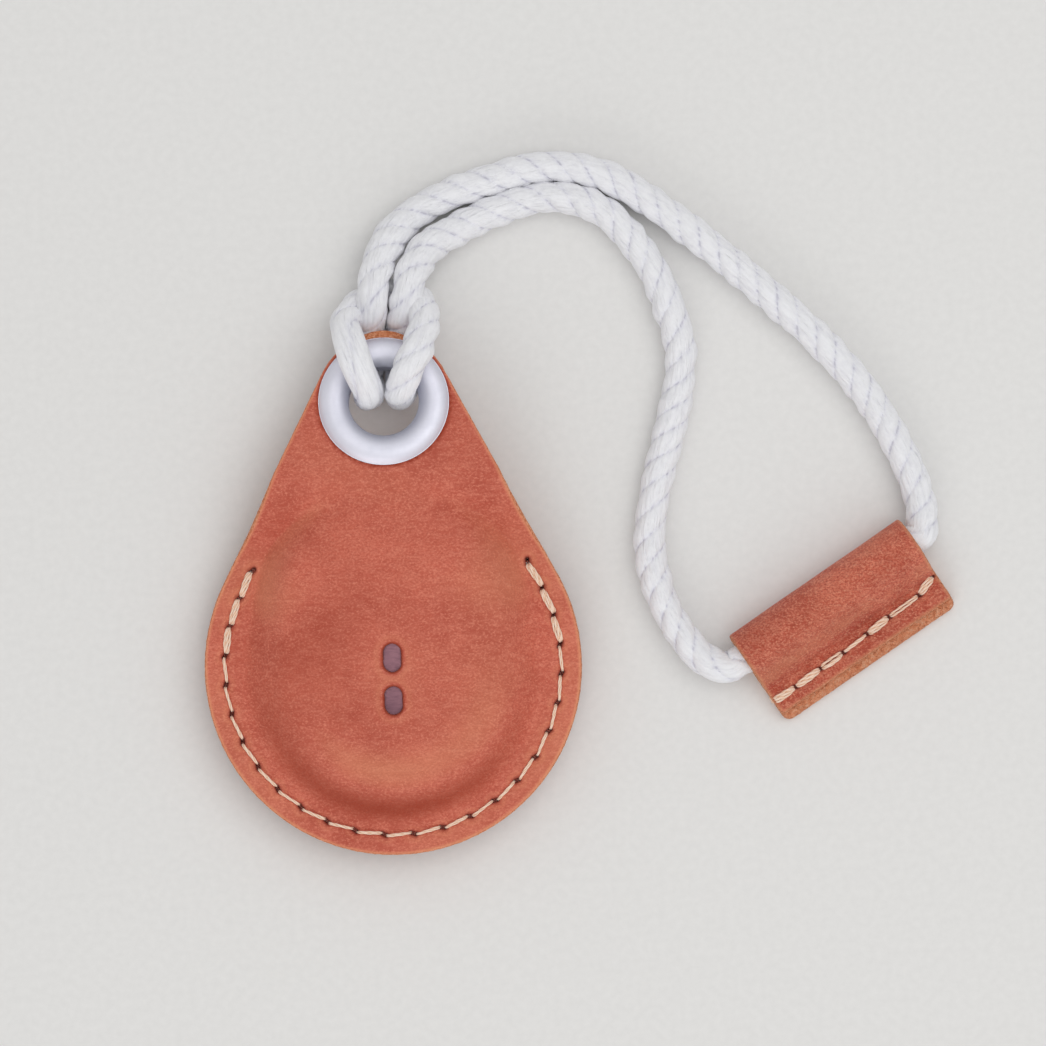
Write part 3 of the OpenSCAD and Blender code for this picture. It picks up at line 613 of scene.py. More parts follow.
def leather_sheet(name, body, material, outline, openings, slits, lift, relief, tone, fine, pitch=0.55, frayed=None):
    """Sheet of leather with rounded cut edges: openings are cut through wide, slits are awl holes."""
    outline = resample(outline, OUTLINE_STEP)
    rings = [(inward(outline, d), d, FAR) for d in (0.0, *CUT_RINGS)]
    rings += [(inward(loop, -d), d, FAR) for loop in openings for d in (0.0, *CUT_RINGS)]
    rings += [(inward(loop, -d), FAR, d) for loop in slits for d in (0.0, *SLIT_RINGS)]
    cut_points = np.vstack([resample(c, CUT_STEP) for c in (outline, *openings)])
    slit_points = np.vstack(slits)
    low, high = outline.min(0), outline.max(0)
    coarse, dense = hexes(low, high, pitch), hexes(low, high, pitch / 2)
    fill = np.vstack([coarse[~fine(coarse)], dense[fine(dense)]])
    fill = fill[inside(fill, outline)]
    keep = (nearest(fill, cut_points) > CUT_ROOM) & (nearest(fill, slit_points) > SLIT_ROOM)
    for loop in openings:
        keep &= ~inside(fill, loop)

    points = np.vstack([loop for loop, _, _ in rings] + [fill[keep]])
    edges, start, loops = [], 0, []
    for loop, cut_distance, slit_distance in rings:
        if min(cut_distance, slit_distance) == 0:
            ids = list(range(start, start + len(loop)))
            loops.append(ids)
            edges += list(zip(ids, ids[1:] + ids[:1]))
        start += len(loop)
    result = delaunay_2d_cdt([Vector(p) for p in points], edges, [], 0, 1e-4, True)
    flat = np.array([tuple(v) for v in result[0]])
    tris = np.array([f for f in result[2] if len(f) == 3])
    where = {old: new for new, olds in enumerate(result[3]) for old in olds}
    middle = flat[tris].mean(1)
    good = inside(middle, outline)
    for loop in [*openings, *slits]:
        near = np.abs(middle - loop.mean(0)).max(1) < 6
        hit = np.zeros(len(middle), bool)
        hit[near] = inside(middle[near], loop)
        good &= ~hit
    tris = tris[good]

    # the points of a ring know their distance from its cut exactly
    edge, slit = nearest(flat, cut_points), nearest(flat, slit_points)
    ring_of = np.repeat(np.arange(len(rings)), [len(loop) for loop, _, _ in rings])
    for new, olds in enumerate(result[3]):
        if olds and olds[0] < start:
            _, cut_distance, slit_distance = rings[ring_of[olds[0]]]
            edge[new] = min(edge[new], cut_distance)
            slit[new] = min(slit[new], slit_distance)
    inner, normal = lift(flat)
    top = relief(flat, edge, slit) - drop(edge, 0.34) - drop(slit, 0.16)
    outer = inner + normal * (LEATHER_T + top)[:, None]
    inner = inner + normal * (drop(edge, 0.2) + drop(slit, 0.12))[:, None]
    count = len(flat)
    verts = [outer, inner]
    faces = [tuple(t) for t in tris] + [tuple(t[::-1] + count) for t in tris]
    shade = np.clip(tone(flat, edge, slit), 0, 1)
    rim = nearest(flat, resample(outline, CUT_STEP))
    raw = np.maximum(band(edge, 0, 0.13) * (rim < 0.5), frayed(flat, edge) if frayed else 0)
    # painted shade round the awl holes
    hole = np.clip(1 - slit / 0.34, 0, 1) ** 0.8
    coats = [np.column_stack([raw, 0 * raw, shade, hole]), np.column_stack([raw, 1 - raw, 0 * raw + 0.5, hole])]

    # walls: the outline's is raw leather, those of openings and awl holes carry painted shade, and awl holes are cut
    # smooth
    start = 2 * count
    for number, ids in enumerate(loops):
        ids = [where[i] for i in ids]
        plan = flat[ids]
        run = unit(np.roll(plan, -1, 0) - np.roll(plan, 1, 0))
        out = np.column_stack([run[:, 1], -run[:, 0]]) * (-1 if number else 1)
        push = unit(lift(plan + out * 0.05)[0] - lift(plan)[0])
        for share in WALL_SHARES:
            rough = 0.03 * ripple(np.column_stack([plan, np.full(len(plan), 4 * share)]), 0.7, 31 + number)
            bulge = (0.06 * math.sin(math.pi * share) + rough) * (number <= len(openings))
            verts.append(mix(outer[ids], inner[ids], share) + push * bulge[:, None])
        hole_shade = 1.0 if number else 0.0
        coats += [np.tile([1.0 - hole_shade, 0, 0.5, hole_shade], (len(ids), 1))] * len(WALL_SHARES)
        rows = [list(range(start + k * len(ids), start + (k + 1) * len(ids))) for k in range(len(WALL_SHARES))]
        start += len(WALL_SHARES) * len(ids)
        lines = [ids, *rows, [i + count for i in ids]]
        for above, below in zip(lines, lines[1:]):
            for k in range(len(ids)):
                n = (k + 1) % len(ids)
                faces.append((above[k], below[k], below[n], above[n]))
    return outward(make_object(name, np.vstack(verts), faces, body, material, np.vstack(coats)))


def pouch_outline():
    """Round body and round neck with their two tangents; the tip is drawn out a little by the rope."""
    neck = np.linspace(TILT, math.pi - TILT, 60)
    body = np.linspace(math.pi - TILT, 2 * math.pi + TILT, 260)
    radius = NECK_R + TIP_OUT * band(neck, math.pi / 2, 0.4)
    top = np.column_stack([radius * np.cos(neck), NECK_REACH + radius * np.sin(neck)])
    low = np.column_stack([POUCH_R * np.cos(body), POUCH_R * np.sin(body)])
    return np.vstack([top, low])


def below_mouth(loop):
    """The part of the outline under the pocket's mouth line."""
    height = loop[:, 1] - MOUTH_Y - np.tan(MOUTH_LEAN) * loop[:, 0]
    out = []
    for a, b, ha, hb in zip(loop, np.roll(loop, -1, 0), height, np.roll(height, -1)):
        if ha <= 0:
            out.append(a)
        if (ha <= 0) != (hb <= 0):
            out.append(a + (b - a) * ha / (ha - hb))
    return np.array(out)


SEAM_LINE = resample(np.vstack([HOLES, HOLES[::-1] + 1e-4]), 0.2)


def near_seam(p):
    return nearest(p, SEAM_LINE) < 1.4


def seam_relief(p):
    """Thread pulled into the leather, and a dimple at each awl hole."""
    seam = nearest(p, SEAM_LINE)
    return -0.16 * band(seam, 0, 0.5) - 0.2 * band(nearest(p, HOLES), 0, 0.8) + 0.07 * band(seam, 1.2, 0.5)


def tip(p, edge):
    """1 on the neck's frayed end between the legs of the hitch."""
    return smooth((p[:, 1] - 45.6) / 0.8) * smooth((1.35 - edge) / 0.3)


def from_slots(p):
    return np.minimum(*[nearest(p, s) for s in SLOTS])


def front_relief(p, edge, slit):
    frayed = tip(p, edge) * (0.45 * smooth((1.4 - edge) / 1.2) + 0.05 * ripple(p, 0.5, 5))
    waves = 0.05 * ripple(p, 13, 3) + 0.02 * ripple(p, 4, 4)
    return -frayed + waves + seam_relief(p) - 0.12 * band(from_slots(p), 0, 0.7)


# place, height to width, size and strength of the patches that are painted darker (-) or lighter (+) than the rest; the
# dark ones on the dome's left and the light ones on its right are painted shade and painted light
DARKER_AND_LIGHTER_PATCHES = [
    (-11, 2, 1.6, 6.5, -0.1), (-13, -14, 1, 5, -0.1), (-15.5, -6, 1, 3.5, -0.07), (5.7, -2.5, 1, 4, -0.06),
    (14, 6, 1.6, 7, 0.1), (15, 10, 1, 3.5, 0.05), (8, 17, 1, 4, -0.11), (-11, 20, 1, 3.5, 0.04),
]  # fmt: skip


def front_tone(p, edge, slit):
    """Tone of the front leather with painted shade and light: painted shade on the dome's lower slope, at the slots'
    edges and round the eyelet; a lighter shoulder, partly stretched leather and partly painted highlight; painted light
    on the dome's right, on its shaded foot and along the cut edges.
    """
    away = np.hypot(p[:, 0], p[:, 1] + TAG_DROP)
    angle = np.arctan2(p[:, 1] + TAG_DROP, p[:, 0])
    lower = np.clip(-np.sin(angle), 0, 1)
    tone = 0.5 + 0.05 * ripple(p, 16, 8)
    # painted shade on the dome's lower slope, where it turns away from the light
    tone -= 0.4 * band(away, 17.6, 1.8) * lower**1.3
    # lighter shoulder below the tag: partly stretched leather, partly painted highlight
    tone += 0.2 * band(away, 13.0, 2.2) * np.clip(-np.sin(angle + 0.25), 0, 1) ** 2
    # painted highlight on the dome's lower right, the side towards the light
    tone += 0.12 * band(away, 13.8, 2.6) * band(angle, -0.5, 0.5)
    # painted light on the dome's upper left, lifting the shading that the lamps give its foot there
    tone += 0.08 * band(away, 17.6, 2.2) * band(angle, 2.7, 0.6)
    # painted light on the dome's foot at both sides, stronger on the left, lifting the shading that the lamps give it
    foot = np.hypot(p[:, 0], p[:, 1] - np.clip(p[:, 1], -TAG_DROP, TAG_TRAVEL - TAG_DROP))
    sides = smooth((np.abs(p[:, 0]) - 6) / 5) * np.where(p[:, 0] < 0, 0.14, 0.05)
    tone += band(foot, 17.0, 1.8) * smooth((p[:, 1] - 6) / 4) * sides
    # patches of painted shade and painted light, and other darker and lighter patches
    for x, y, tall, size, share in DARKER_AND_LIGHTER_PATCHES:
        tone += share * band(np.hypot(p[:, 0] - x, (p[:, 1] - y) / tall), 0, size)
    tone += 0.06 * np.clip((near_rim(p) - 0.5) * 2, 0, 1)
    slot = from_slots(p)
    # a lighter ring round each slot, and painted shade at its cut edge
    tone += 0.08 * band(slot, 0.9, 0.4) - 0.4 * band(slot, 0.1, 0.22)
    tone += 0.1 * band(slit, 0.75, 0.3)
    # painted highlight along the cut edges, away from the slots
    tone += 0.35 * band(edge, 0.22, 0.16) * (slot > 1.5)
    # painted contact shadow in a ring just outside the eyelet's flange
    tone -= 0.5 * band(np.hypot(p[:, 0], (p[:, 1] - NECK_REACH) * 1.02), FLANGE_R + 0.1, 0.28)
    return tone


def near_rim(p):
    """1 outside the seam, 0 inside it."""
    return smooth((np.hypot(p[:, 0], p[:, 1]) - SEAM_R + 0.3) / 0.6) * (p[:, 1] < 12)


def oval_slot(y):
    return resample(capsule(np.array([0.0, y]), np.array([0.0, 1.0]), SLOT_L, SLOT_W, 48), 0.2)


SLOTS = [oval_slot(side * SLOT_PITCH / 2 - TAG_DROP) for side in (-1, 1)]
EYE = resample(capsule(np.array([0.0, NECK_REACH]), np.array([0.0, 1.0]), 11.4, 11.3, 64), 0.5)
AWL = [capsule(h, d, 1.25 if wide_hole(i) else 1.05, 0.5, 14) for i, (h, d) in enumerate(zip(HOLES, SLITS))]


def add_pouch():
    front = leather_sheet(
        "front_leather", "holder", LEATHER, pouch_outline(), [*SLOTS, EYE], AWL, lifted(front_z, 1),
        front_relief, front_tone,
        lambda p: near_seam(p) | (p[:, 1] > 45) | (from_slots(p) < 1.6),
        frayed=tip,
    )  # fmt: skip
    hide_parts("front_panel")
    back = leather_sheet(
        "back_leather", "holder", POCKET_LEATHER, below_mouth(resample(pouch_outline(), 0.2)), [], AWL,
        lifted(pocket_z, -1),
        lambda p, edge, slit: 0.05 * ripple(p, 11, 13) + 0.02 * ripple(p, 4, 14) + seam_relief(p),
        lambda p, edge, slit: 0.47 + 0.07 * ripple(p, 12, 18) + 0.1 * band(slit, 0.75, 0.3),
        near_seam,
    )  # fmt: skip
    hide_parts("back_pocket")


add_pouch()


# ---------------------------------------------------------------- stitches
def stitch_tubes(line, up, width, plies, radius, seed, split=False):
    """Threads lying side by side along a stitch, closing up where they go into the holes."""
    path, s = spline(line, 0.17)
    t = s / s[-1]
    side, cross = frames(path, up)
    spread = (width / 2 - radius) * (0.15 + 0.85 * np.sin(math.pi * np.clip(t, 0, 1)) ** 0.7)
    tubes = []
    rng = np.random.default_rng(seed)
    for k in range(plies):
        place = (2 * k / (plies - 1) - 1) if plies > 1 else 0.0
        if split:
            place = math.copysign(max(abs(place), 0.55), place or 1)
        wander = 0.03 * np.sin(2 * math.pi * (t * rng.uniform(0.6, 1.3) + rng.uniform()))
        lift = 0.05 * math.cos(place * 1.5) * np.sin(math.pi * t)
        own = path + cross * (place * spread + wander)[:, None] + side * lift[:, None]
        tubes.append(
            twisted_tube(own, radius, 2, 2.6, 12, 2.8, squash=0.8, up=up, phase=rng.uniform(0, 6), seed=seed + k)
        )
    return tubes


def arch(dip, shoulder, top):
    """Heights of a stitch's eight points over the leather's inner side, from dips and tops over its outer side."""
    return LEATHER_T + np.array([-1.0, dip, shoulder, top, top, shoulder, dip, -1.0])


def stitch_route(lift, a, b, run, near, far, heights):
    """Route of one stitch over a lifted sheet, from inside hole a to inside hole b, and the normals along it."""
    plan = [a, a + near * run, a + far * run, mix(a, b, 0.35), mix(a, b, 0.65), b - far * run, b - near * run, b]
    inner, normal = lift(np.array(plan))
    return inner + normal * heights[:, None], normal


def hole_legs(lift, hole, run, radius, seed):
    """The two thread legs that pass a hole."""
    legs = []
    for k in (-1, 1):
        inner, normal = lift((hole + 0.17 * k * run)[None])
        path, _ = spline(inner + normal * np.array([[0.85], [0.4], [-0.1], [-0.6]]), 0.25)
        legs.append(twisted_tube(path, radius, 2, 1.9, 12, 1.25, up=(1, 0, 0), seed=seed + k))
    return legs


PROUD = 0.06  # how far the seam's thread stands out of the leather


def add_seam_thread():
    tubes = []
    for side, lift, up in ((1, lifted(front_z, 1), (0, 0, 1)), (-1, lifted(pocket_z, -1), (0, 0, -1))):
        for i in range(SEAM_HOLES - 1):
            a, b = HOLES[i] + 0.4 * SLITS[i], HOLES[i + 1] - 0.4 * SLITS[i + 1]
            line, _ = stitch_route(lift, a, b, unit(b - a), 0.1, 0.5, arch(-0.35, 0.6 * PROUD, PROUD))
            width, plies, radius = (1.15, 3, 0.23) if doubled(i) else (0.52, 2, 0.17)
            tubes += stitch_tubes(line, up, width, plies, radius, 100 + i)
    legs = []
    for i, (hole, run) in enumerate(zip(HOLES, SLITS)):
        shift = 0.3 if i == 0 else -0.3 if i == SEAM_HOLES - 1 else 0.0
        legs += hole_legs(lifted(front_z, 1), hole - shift * run, run, 0.3 if wide_hole(i) else 0.26, 500 + i)
    thread = yarn_object("seam_stitches", tubes, "holder", THREAD)
    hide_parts("seam_thread")
    inside_holes = yarn_object("seam_thread_in_holes", legs, "holder", HOLE_SHADED_THREAD)


add_seam_thread()


# ---------------------------------------------------------------- sleeve
def sleeve_section():
    """Middle line of the folded leather, from the lower raw edge round the rope to the upper one."""
    centre, middle_r = np.array([0.0, FOLD_R]), WRAP_R + LEATHER_T / 2
    flat_start = FOLD_R - SLEEVE_SEAM + SLEEVE_FLAT
    to_flat = np.array([flat_start, 2 * LEATHER_T - FOLD_R])
    last = math.atan2(to_flat[1], to_flat[0]) + 2 * math.pi - math.acos(FOLD_R / np.linalg.norm(to_flat))
    angle = np.linspace(-math.pi / 2, last, 80)
    fold = centre + middle_r * np.column_stack([np.cos(angle), np.sin(angle)])
    edge = FOLD_R - SLEEVE_W
    upper = [[flat_start + 0.2, 1.5 * LEATHER_T], [edge + EDGE_STEP, 1.5 * LEATHER_T]]
    line = np.vstack([[edge - LOWER_LIP, LEATHER_T / 2], fold, upper])
    s = lengths_along(line)
    at = np.arange(0, s[-1], 0.1)
    dense = np.stack([np.interp(at, s, line[:, k]) for k in range(2)], 1)
    for _ in range(2):
        padded = np.pad(dense, ((6, 6), (0, 0)), mode="reflect", reflect_type="odd")
        dense = np.stack([np.convolve(padded[:, k], np.ones(13) / 13, "valid") for k in range(2)], 1)
    return dense


SECTION = sleeve_section()
SECTION_S = lengths_along(SECTION)
SECTION_RUN = unit(np.gradient(SECTION, axis=0))
SLEEVE_PITCH = SLEEVE_L / SLEEVE_STITCHES
ROW_LOW = LOWER_LIP + SLEEVE_W - SLEEVE_SEAM
ROW_HIGH = SECTION_S[-1] - (SLEEVE_W - SLEEVE_SEAM - EDGE_STEP)
# ends of the upper stitches: even places along the row, and how far the hand-sewn ones are off, along and across it
EVEN_ENDS = [*np.arange(SLEEVE_STITCHES) * SLEEVE_PITCH, SLEEVE_L - 1.0]
STITCH_ENDS = np.column_stack([EVEN_ENDS, np.full(len(EVEN_ENDS), ROW_HIGH)])
STITCH_ENDS += [[0, 0.6], [-0.45, 0.65], [-0.2, 0.55], [-0.5, 0.5], [-0.3, 0.25], [-0.6, 0], [0.5, -0.1], [0.35, -1.35]]
STITCH_WIDTHS = [1.25, 1.15, 1.25, 0.55, 1.25, 0.85, 1.25]


def sleeve_lift(p):
    """Lift for the sleeve's leather, from places along it and round its section."""
    v = np.clip(p[:, 1], 0, SECTION_S[-1])
    beyond = p[:, 1] - v
    y, z = (np.interp(v, SECTION_S, SECTION[:, k]) for k in range(2))
    ry, rz = (np.interp(v, SECTION_S, SECTION_RUN[:, k]) for k in range(2))
    y, z = y + beyond * ry, z + beyond * rz
    normal = unit(np.column_stack([0 * ry, rz, -ry]))
    local = np.column_stack([p[:, 0], y, z]) - normal * LEATHER_T / 2
    c, s = math.cos(SLEEVE_ANGLE), math.sin(SLEEVE_ANGLE)
    turn = np.array([[c, s, 0], [-s, c, 0], [0, 0, 1]])
    return local @ turn + SLEEVE_ORIGIN, normal @ turn


def from_row(p):
    return np.abs(p[:, 1] - np.interp(p[:, 0], STITCH_ENDS[:, 0], STITCH_ENDS[:, 1]))


def sleeve_relief(p, edge, slit):
    groove = -0.46 * (np.abs(p[:, 1] - ROW_LOW) < 0.75)
    crease = 0.035 * ripple(p * [0.5, 1.6], 2.4, 23) * band(p[:, 1], ROW_HIGH - 3.4, 2.2)
    return 0.03 * ripple(p, 7, 21) + crease + groove - 0.14 * band(from_row(p), 0, 0.8) - 0.12 * band(slit, 0, 0.5)


def sleeve_tone(p, edge, slit):
    tone = 0.5 + 0.05 * ripple(p, 9, 28)
    tone -= 0.1 * band(p[:, 1], ROW_HIGH - 1.9, 1.0)
    tone += 0.12 * band(p[:, 1], ROW_HIGH - 4.6, 1.6)
    tone += 0.05 * ripple(p * [1, 3], 3, 29) * band(p[:, 1], ROW_HIGH - 3, 3)
    # lighter rings round the awl holes, and a painted highlight along the cut edges
    return tone + 0.1 * band(slit, 0.6, 0.3) + 0.3 * band(edge, 0.24, 0.18)


def rounded(length, width, radii):
    """Rectangle with a radius at each corner, counterclockwise from the origin."""
    out = []
    for k, ((x, y), r) in enumerate(zip(((0, 0), (length, 0), (length, width), (0, width)), radii)):
        angle = math.pi + k * math.pi / 2 + np.linspace(0, math.pi / 2, 7)
        middle = np.array([x + (r if x == 0 else -r), y + (r if y == 0 else -r)])
        out.append(middle + r * np.column_stack([np.cos(angle), np.sin(angle)]))
    return np.vstack(out)


def add_sleeve():
    corners = rounded(SLEEVE_L, SECTION_S[-1], (1.1, 1.1, 0.35, 0.35))
    tilt = math.radians(12)
    along = np.array([math.cos(tilt), math.sin(tilt)])
    low_holes = [np.array([i * SLEEVE_PITCH, ROW_LOW]) for i in range(1, SLEEVE_STITCHES)]
    slits = [capsule(hole, along, 0.95, 0.45, 14) for hole in [*low_holes, *STITCH_ENDS[1:-1]]]
    slits.append(capsule(STITCH_ENDS[-1], along, 0.6, 0.4, 14))
    sleeve = leather_sheet(
        "sleeve_leather", "loop", SLEEVE_LEATHER, corners, [], slits, sleeve_lift, sleeve_relief, sleeve_tone,
        lambda p: np.minimum(np.abs(p[:, 1] - ROW_LOW), from_row(p)) < 1.5,
    )  # fmt: skip
    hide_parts("rope_sleeve")
    legs = []
    for i, hole in enumerate(STITCH_ENDS[1:]):
        legs += hole_legs(sleeve_lift, hole, along, 0.2, 700 + i)
    inside_holes = yarn_object("sleeve_thread_in_holes", legs, "loop", HOLE_SHADED_THREAD)
    tubes = []
    for i, width in enumerate(STITCH_WIDTHS):
        plies, radius = (3, 0.25) if width > 1 else (2, 0.2)
        low_stop = min((i + 1) * SLEEVE_PITCH, SLEEVE_L - 0.85)
        low_ends = np.array([[i * SLEEVE_PITCH, ROW_LOW], [low_stop, ROW_LOW]])
        for ends, proud in ((STITCH_ENDS[i : i + 2], 0.1), (low_ends, -0.3)):
            run = unit(ends[1] - ends[0])
            a = ends[0] + (0.3 * run if i else [-0.05, 0])
            b = ends[1] - (0.3 if i < SLEEVE_STITCHES - 1 else 0.15) * run
            heights = arch(-0.3, proud * 0.7, proud)
            if i == 0:
                heights[:2] = [-0.7, proud * 0.4]
            line, normal = stitch_route(sleeve_lift, a, b, run, 0.15, 0.6, heights)
            tubes += stitch_tubes(line, normal[0], width, plies, radius, 300 + i, split=i == 2)
    thread = yarn_object("sleeve_stitches", tubes, "loop", THREAD)
    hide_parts("sleeve_thread")


add_sleeve()


# ---------------------------------------------------------------- metal
def metal_material(name, code, dark_code, rough, brush, depth, bore_shade_code=None):
    """Metal with fine scratches and a little clouding, with painted shade that darkens it towards the eyelet's bore."""
    p = Paint(name, 1.0)
    cloud = p.noise(260, 4, 0.6)
    scratch = p.noise(brush, 3, 0.6, p.stretched((1.0, 0.12, 1.0)))
    cross = p.noise(brush, 3, 0.6, p.stretched((0.15, 1.0, 1.0)))
    both = p.math("MULTIPLY", scratch, cross)
    color = p.clouded(cloud, 0.5, code, dark_code)
    if bore_shade_code:
        x, y, _ = p.parts(p.place)
        away = p.length(x, p.math("SUBTRACT", y, NECK_REACH * MM))
        # painted shade: darker towards the bore
        color = p.blend(p.span(away, (BORE_R + 0.2) * MM, (FLANGE_R - 1.8) * MM, 1.0, 0.0), color, bore_shade_code)
    roughness = p.span(p.math("ADD", cloud, both), 0.4, 1.0, rough * 0.9, rough * 1.15)
    return p.finish(color, roughness, p.bump(both, depth))


def lathe(name, profile, body, material, turns=192, wobble=0.0):
    """Ring turned about the eyelet's axis; the profile is a closed loop of (radius, height) in mm."""
    profile = np.asarray(profile)
    angle = np.arange(turns) / turns * 2 * math.pi
    tilt = wobble * np.sin(3 * angle + 1)[:, None] * (profile[None, :, 1] < -0.5)
    r = profile[None, :, 0] + tilt
    height = np.broadcast_to(profile[:, 1], r.shape)
    local = np.stack([r * np.cos(angle)[:, None], r * np.sin(angle)[:, None], height], -1)
    c, s = math.cos(NECK_SLOPE), math.sin(NECK_SLOPE)
    turn = np.array([[1, 0, 0], [0, c, -s], [0, s, c]])
    verts = local.reshape(-1, 3) @ turn + [0, NECK_REACH, float(ridge_z(np.array(NECK_REACH)))]
    n = len(profile)
    faces = [
        (i * n + k, i * n + (k + 1) % n, (i + 1) % turns * n + (k + 1) % n, (i + 1) % turns * n + k)
        for i in range(turns)
        for k in range(n)
    ]
    return outward(make_object(name, verts, faces, body, material))


def arc(cx, cz, radius, start, stop, count):
    angle = np.radians(np.linspace(start, stop, count))
    return np.column_stack([cx + radius * np.cos(angle), cz + radius * np.sin(angle)])


def add_eyelet():
    half = (FLANGE_R - BORE_R) / 2
    across = np.linspace(0.985, -1, 48)
    crown = np.column_stack([BORE_R + half * (1 + across), LEATHER_T + CROWN_H * (1 - np.abs(across) ** 2.5)])
    rim = [[FLANGE_R - 0.5, LEATHER_T + 0.02], [FLANGE_R - 0.05, LEATHER_T + 0.02], [FLANGE_R, LEATHER_T + 0.1]]
    low, lip_r = -WASHER_T - LIP_T, BORE_R + LIP_W
    bore = [[BORE_R, 0.9], [BORE_R, 0.3], [BORE_R, -0.3], [BORE_R + 0.02, low + 0.25]]
    roll = arc(BORE_R + 0.25, low + 0.23, 0.23, 180, 270, 6)
    lip = arc(lip_r - LIP_T / 2, low + LIP_T / 2, LIP_T / 2, -90, 90, 10)
    barrel_r = BORE_R + BARREL_T
    barrel = [[barrel_r, -WASHER_T], [barrel_r, LEATHER_T - 0.1], [barrel_r + 0.1, LEATHER_T]]
    profile = np.vstack([rim, crown, bore, roll, lip, barrel])
    metal = metal_material("eyelet_metal", "#DBDBE5", "#CFD0DA", 0.55, 3200, 0.002, "#C3C4CF")
    eyelet = lathe("eyelet_ring", profile, "holder", metal, wobble=0.03)
    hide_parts("eyelet")
    inner_r, edge_r = barrel_r + 0.05, 0.12
    corners = [
        arc(WASHER_R - edge_r, -edge_r, edge_r, 90, 0, 5),
        arc(WASHER_R - edge_r, edge_r - WASHER_T, edge_r, 0, -90, 5),
        arc(inner_r + edge_r, edge_r - WASHER_T, edge_r, 270, 180, 5),
        arc(inner_r + edge_r, -edge_r, edge_r, 180, 90, 5),
    ]
    metal = metal_material("washer_metal", "#D2D3DB", "#B4B5C0", 0.32, 2600, 0.008)
    washer = lathe("eyelet_back_washer", np.vstack(corners), "holder", metal)
    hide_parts("eyelet_washer")


add_eyelet()


# ---------------------------------------------------------------- finishes of the tag's own pieces
def round_place(p):
    """Distance from the tag's axis and the angle round it, for turned and brushed finishes."""
    local = p.add("VectorMath", {0: p.place, 1: (0, -TAG_DROP * MM, 0)}, operation="SUBTRACT")
    x, y, z = p.parts(local[0])
    return p.length(x, y), p.math("ARCTAN2", y, x), z


def joined(p, x, y, z):
    return p.add("CombineXYZ", {0: x, 1: y, 2: z})[0]


def plastic_material(name, code, shade_code, rough, grain):
    """Moulded plastic: fine spark texture, faint flow clouds and handling marks."""
    p = Paint(name, Specular_IOR_Level=0.45)
    cloud = p.noise(180, 3, 0.5)
    spark = p.noise(grain, 2, 0.5)
    marks = p.noise(900, 5, 0.7, p.stretched((0.3, 2.0, 1.0)))
    color = p.clouded(cloud, 0.6, code, shade_code)
    color = p.blend(p.span(marks, 0.62, 0.8, 0.0, 0.25), color, shade_code)
    roughness = p.span(p.math("ADD", marks, cloud), 0.7, 1.35, rough, rough * 1.5)
    return p.finish(color, roughness, p.bump(spark, 0.012))


def turned_metal(name, code, dark_code, rough, lines):
    """Metal spun or brushed round the tag's axis."""
    p = Paint(name, 1.0)
    radius, angle, z = round_place(p)
    rings = p.noise(lines, 3, 0.6, joined(p, radius, p.math("MULTIPLY", angle, 0.0006), z))
    cloud = p.noise(220, 4, 0.6)
    color = p.clouded(cloud, 0.55, code, dark_code)
    color = p.blend(p.span(rings, 0.4, 0.65, 0.0, 0.35), color, dark_code)
    roughness = p.span(p.math("ADD", rings, cloud), 0.7, 1.3, rough * 0.7, rough * 1.35)
    return p.finish(color, roughness, p.bump(rings, 0.006))


def board_material():
    """Solder mask with tracks and pads; the components above the board are dark."""
    p = Paint("board", Specular_IOR_Level=0.5)
    low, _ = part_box("tag_circuit_board")
    chips_from = low.z + 0.85 * MM
    radius, angle, _ = round_place(p)
    tracks = p.cells(900, joined(p, radius, p.math("MULTIPLY", angle, 0.006), 0.0), "DISTANCE_TO_EDGE")
    pads = p.cells(1300)
    lines = p.span(tracks, 0.09, 0.05)
    color = p.blend(lines, "#1F5A3A", "#2F7A50")
    color = p.blend(p.span(pads, 0.16, 0.12), color, "#D8B060")
    level = p.parts(p.place)[2]
    chips = p.span(level, chips_from, chips_from + 0.05 * MM)
    mould = p.noise(4200, 3, 0.6)
    color = p.blend(chips, color, p.ramp(mould, [(0.3, "#17181B"), (0.7, "#2A2B30")]))
    return p.finish(color, p.span(mould, 0.3, 0.7, 0.38, 0.6), p.bump(p.math("ADD", lines, mould), 0.02))


def coil_material():
    """Enamelled copper wire, layer on layer."""
    p = Paint("coil_wire", 0.85)
    radius, _, z = round_place(p)
    wire_r = 0.06 * MM
    turns = p.span(p.math("PINGPONG", p.math("ADD", radius, z), wire_r), 0.0, wire_r)
    color = p.blend(turns, "#7A3A1C", "#D98A54")
    color = p.blend(p.span(p.noise(700, 4, 0.6), 0.4, 0.7, 0.0, 0.4), color, "#A8562E")
    return p.finish(color, p.span(turns, 0, 1, 0.5, 0.3), p.bump(turns, 0.03))


def rubber_material():
    p = Paint("seal_ring", Specular_IOR_Level=0.3)
    dust = p.noise(2600, 5, 0.7)
    color = p.ramp(dust, [(0.3, "#1B1B1D"), (0.6, "#2B2B2E"), (0.78, "#4A4A4C")])
    return p.finish(color, p.span(dust, 0.3, 0.7, 0.85, 0.65), p.bump(dust, 0.02))


def cell_material():
    """Coin cell: brushed can, with the dark gasket ring near its rim."""
    p = Paint("cell_can", 1.0)
    radius, _, z = round_place(p)
    brush = p.noise(2400, 3, 0.6, p.stretched((0.08, 1.0, 1.0)))
    cloud = p.noise(240, 4, 0.6)
    color = p.clouded(cloud, 0.5, "#D3D4D8", "#AEB0B6")
    gasket = p.math("MULTIPLY", p.span(radius, 0.0086, 0.00868), p.span(radius, 0.00905, 0.00897))
    low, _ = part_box("tag_coin_cell")
    gasket = p.math("MULTIPLY", gasket, p.span(z, low.z + 0.0002, low.z + 0.0001))
    color = p.blend(gasket, color, "#26272B")
    return p.finish(color, p.span(p.math("ADD", brush, gasket), 0.3, 1.4, 0.2, 0.6), p.bump(brush, 0.006))


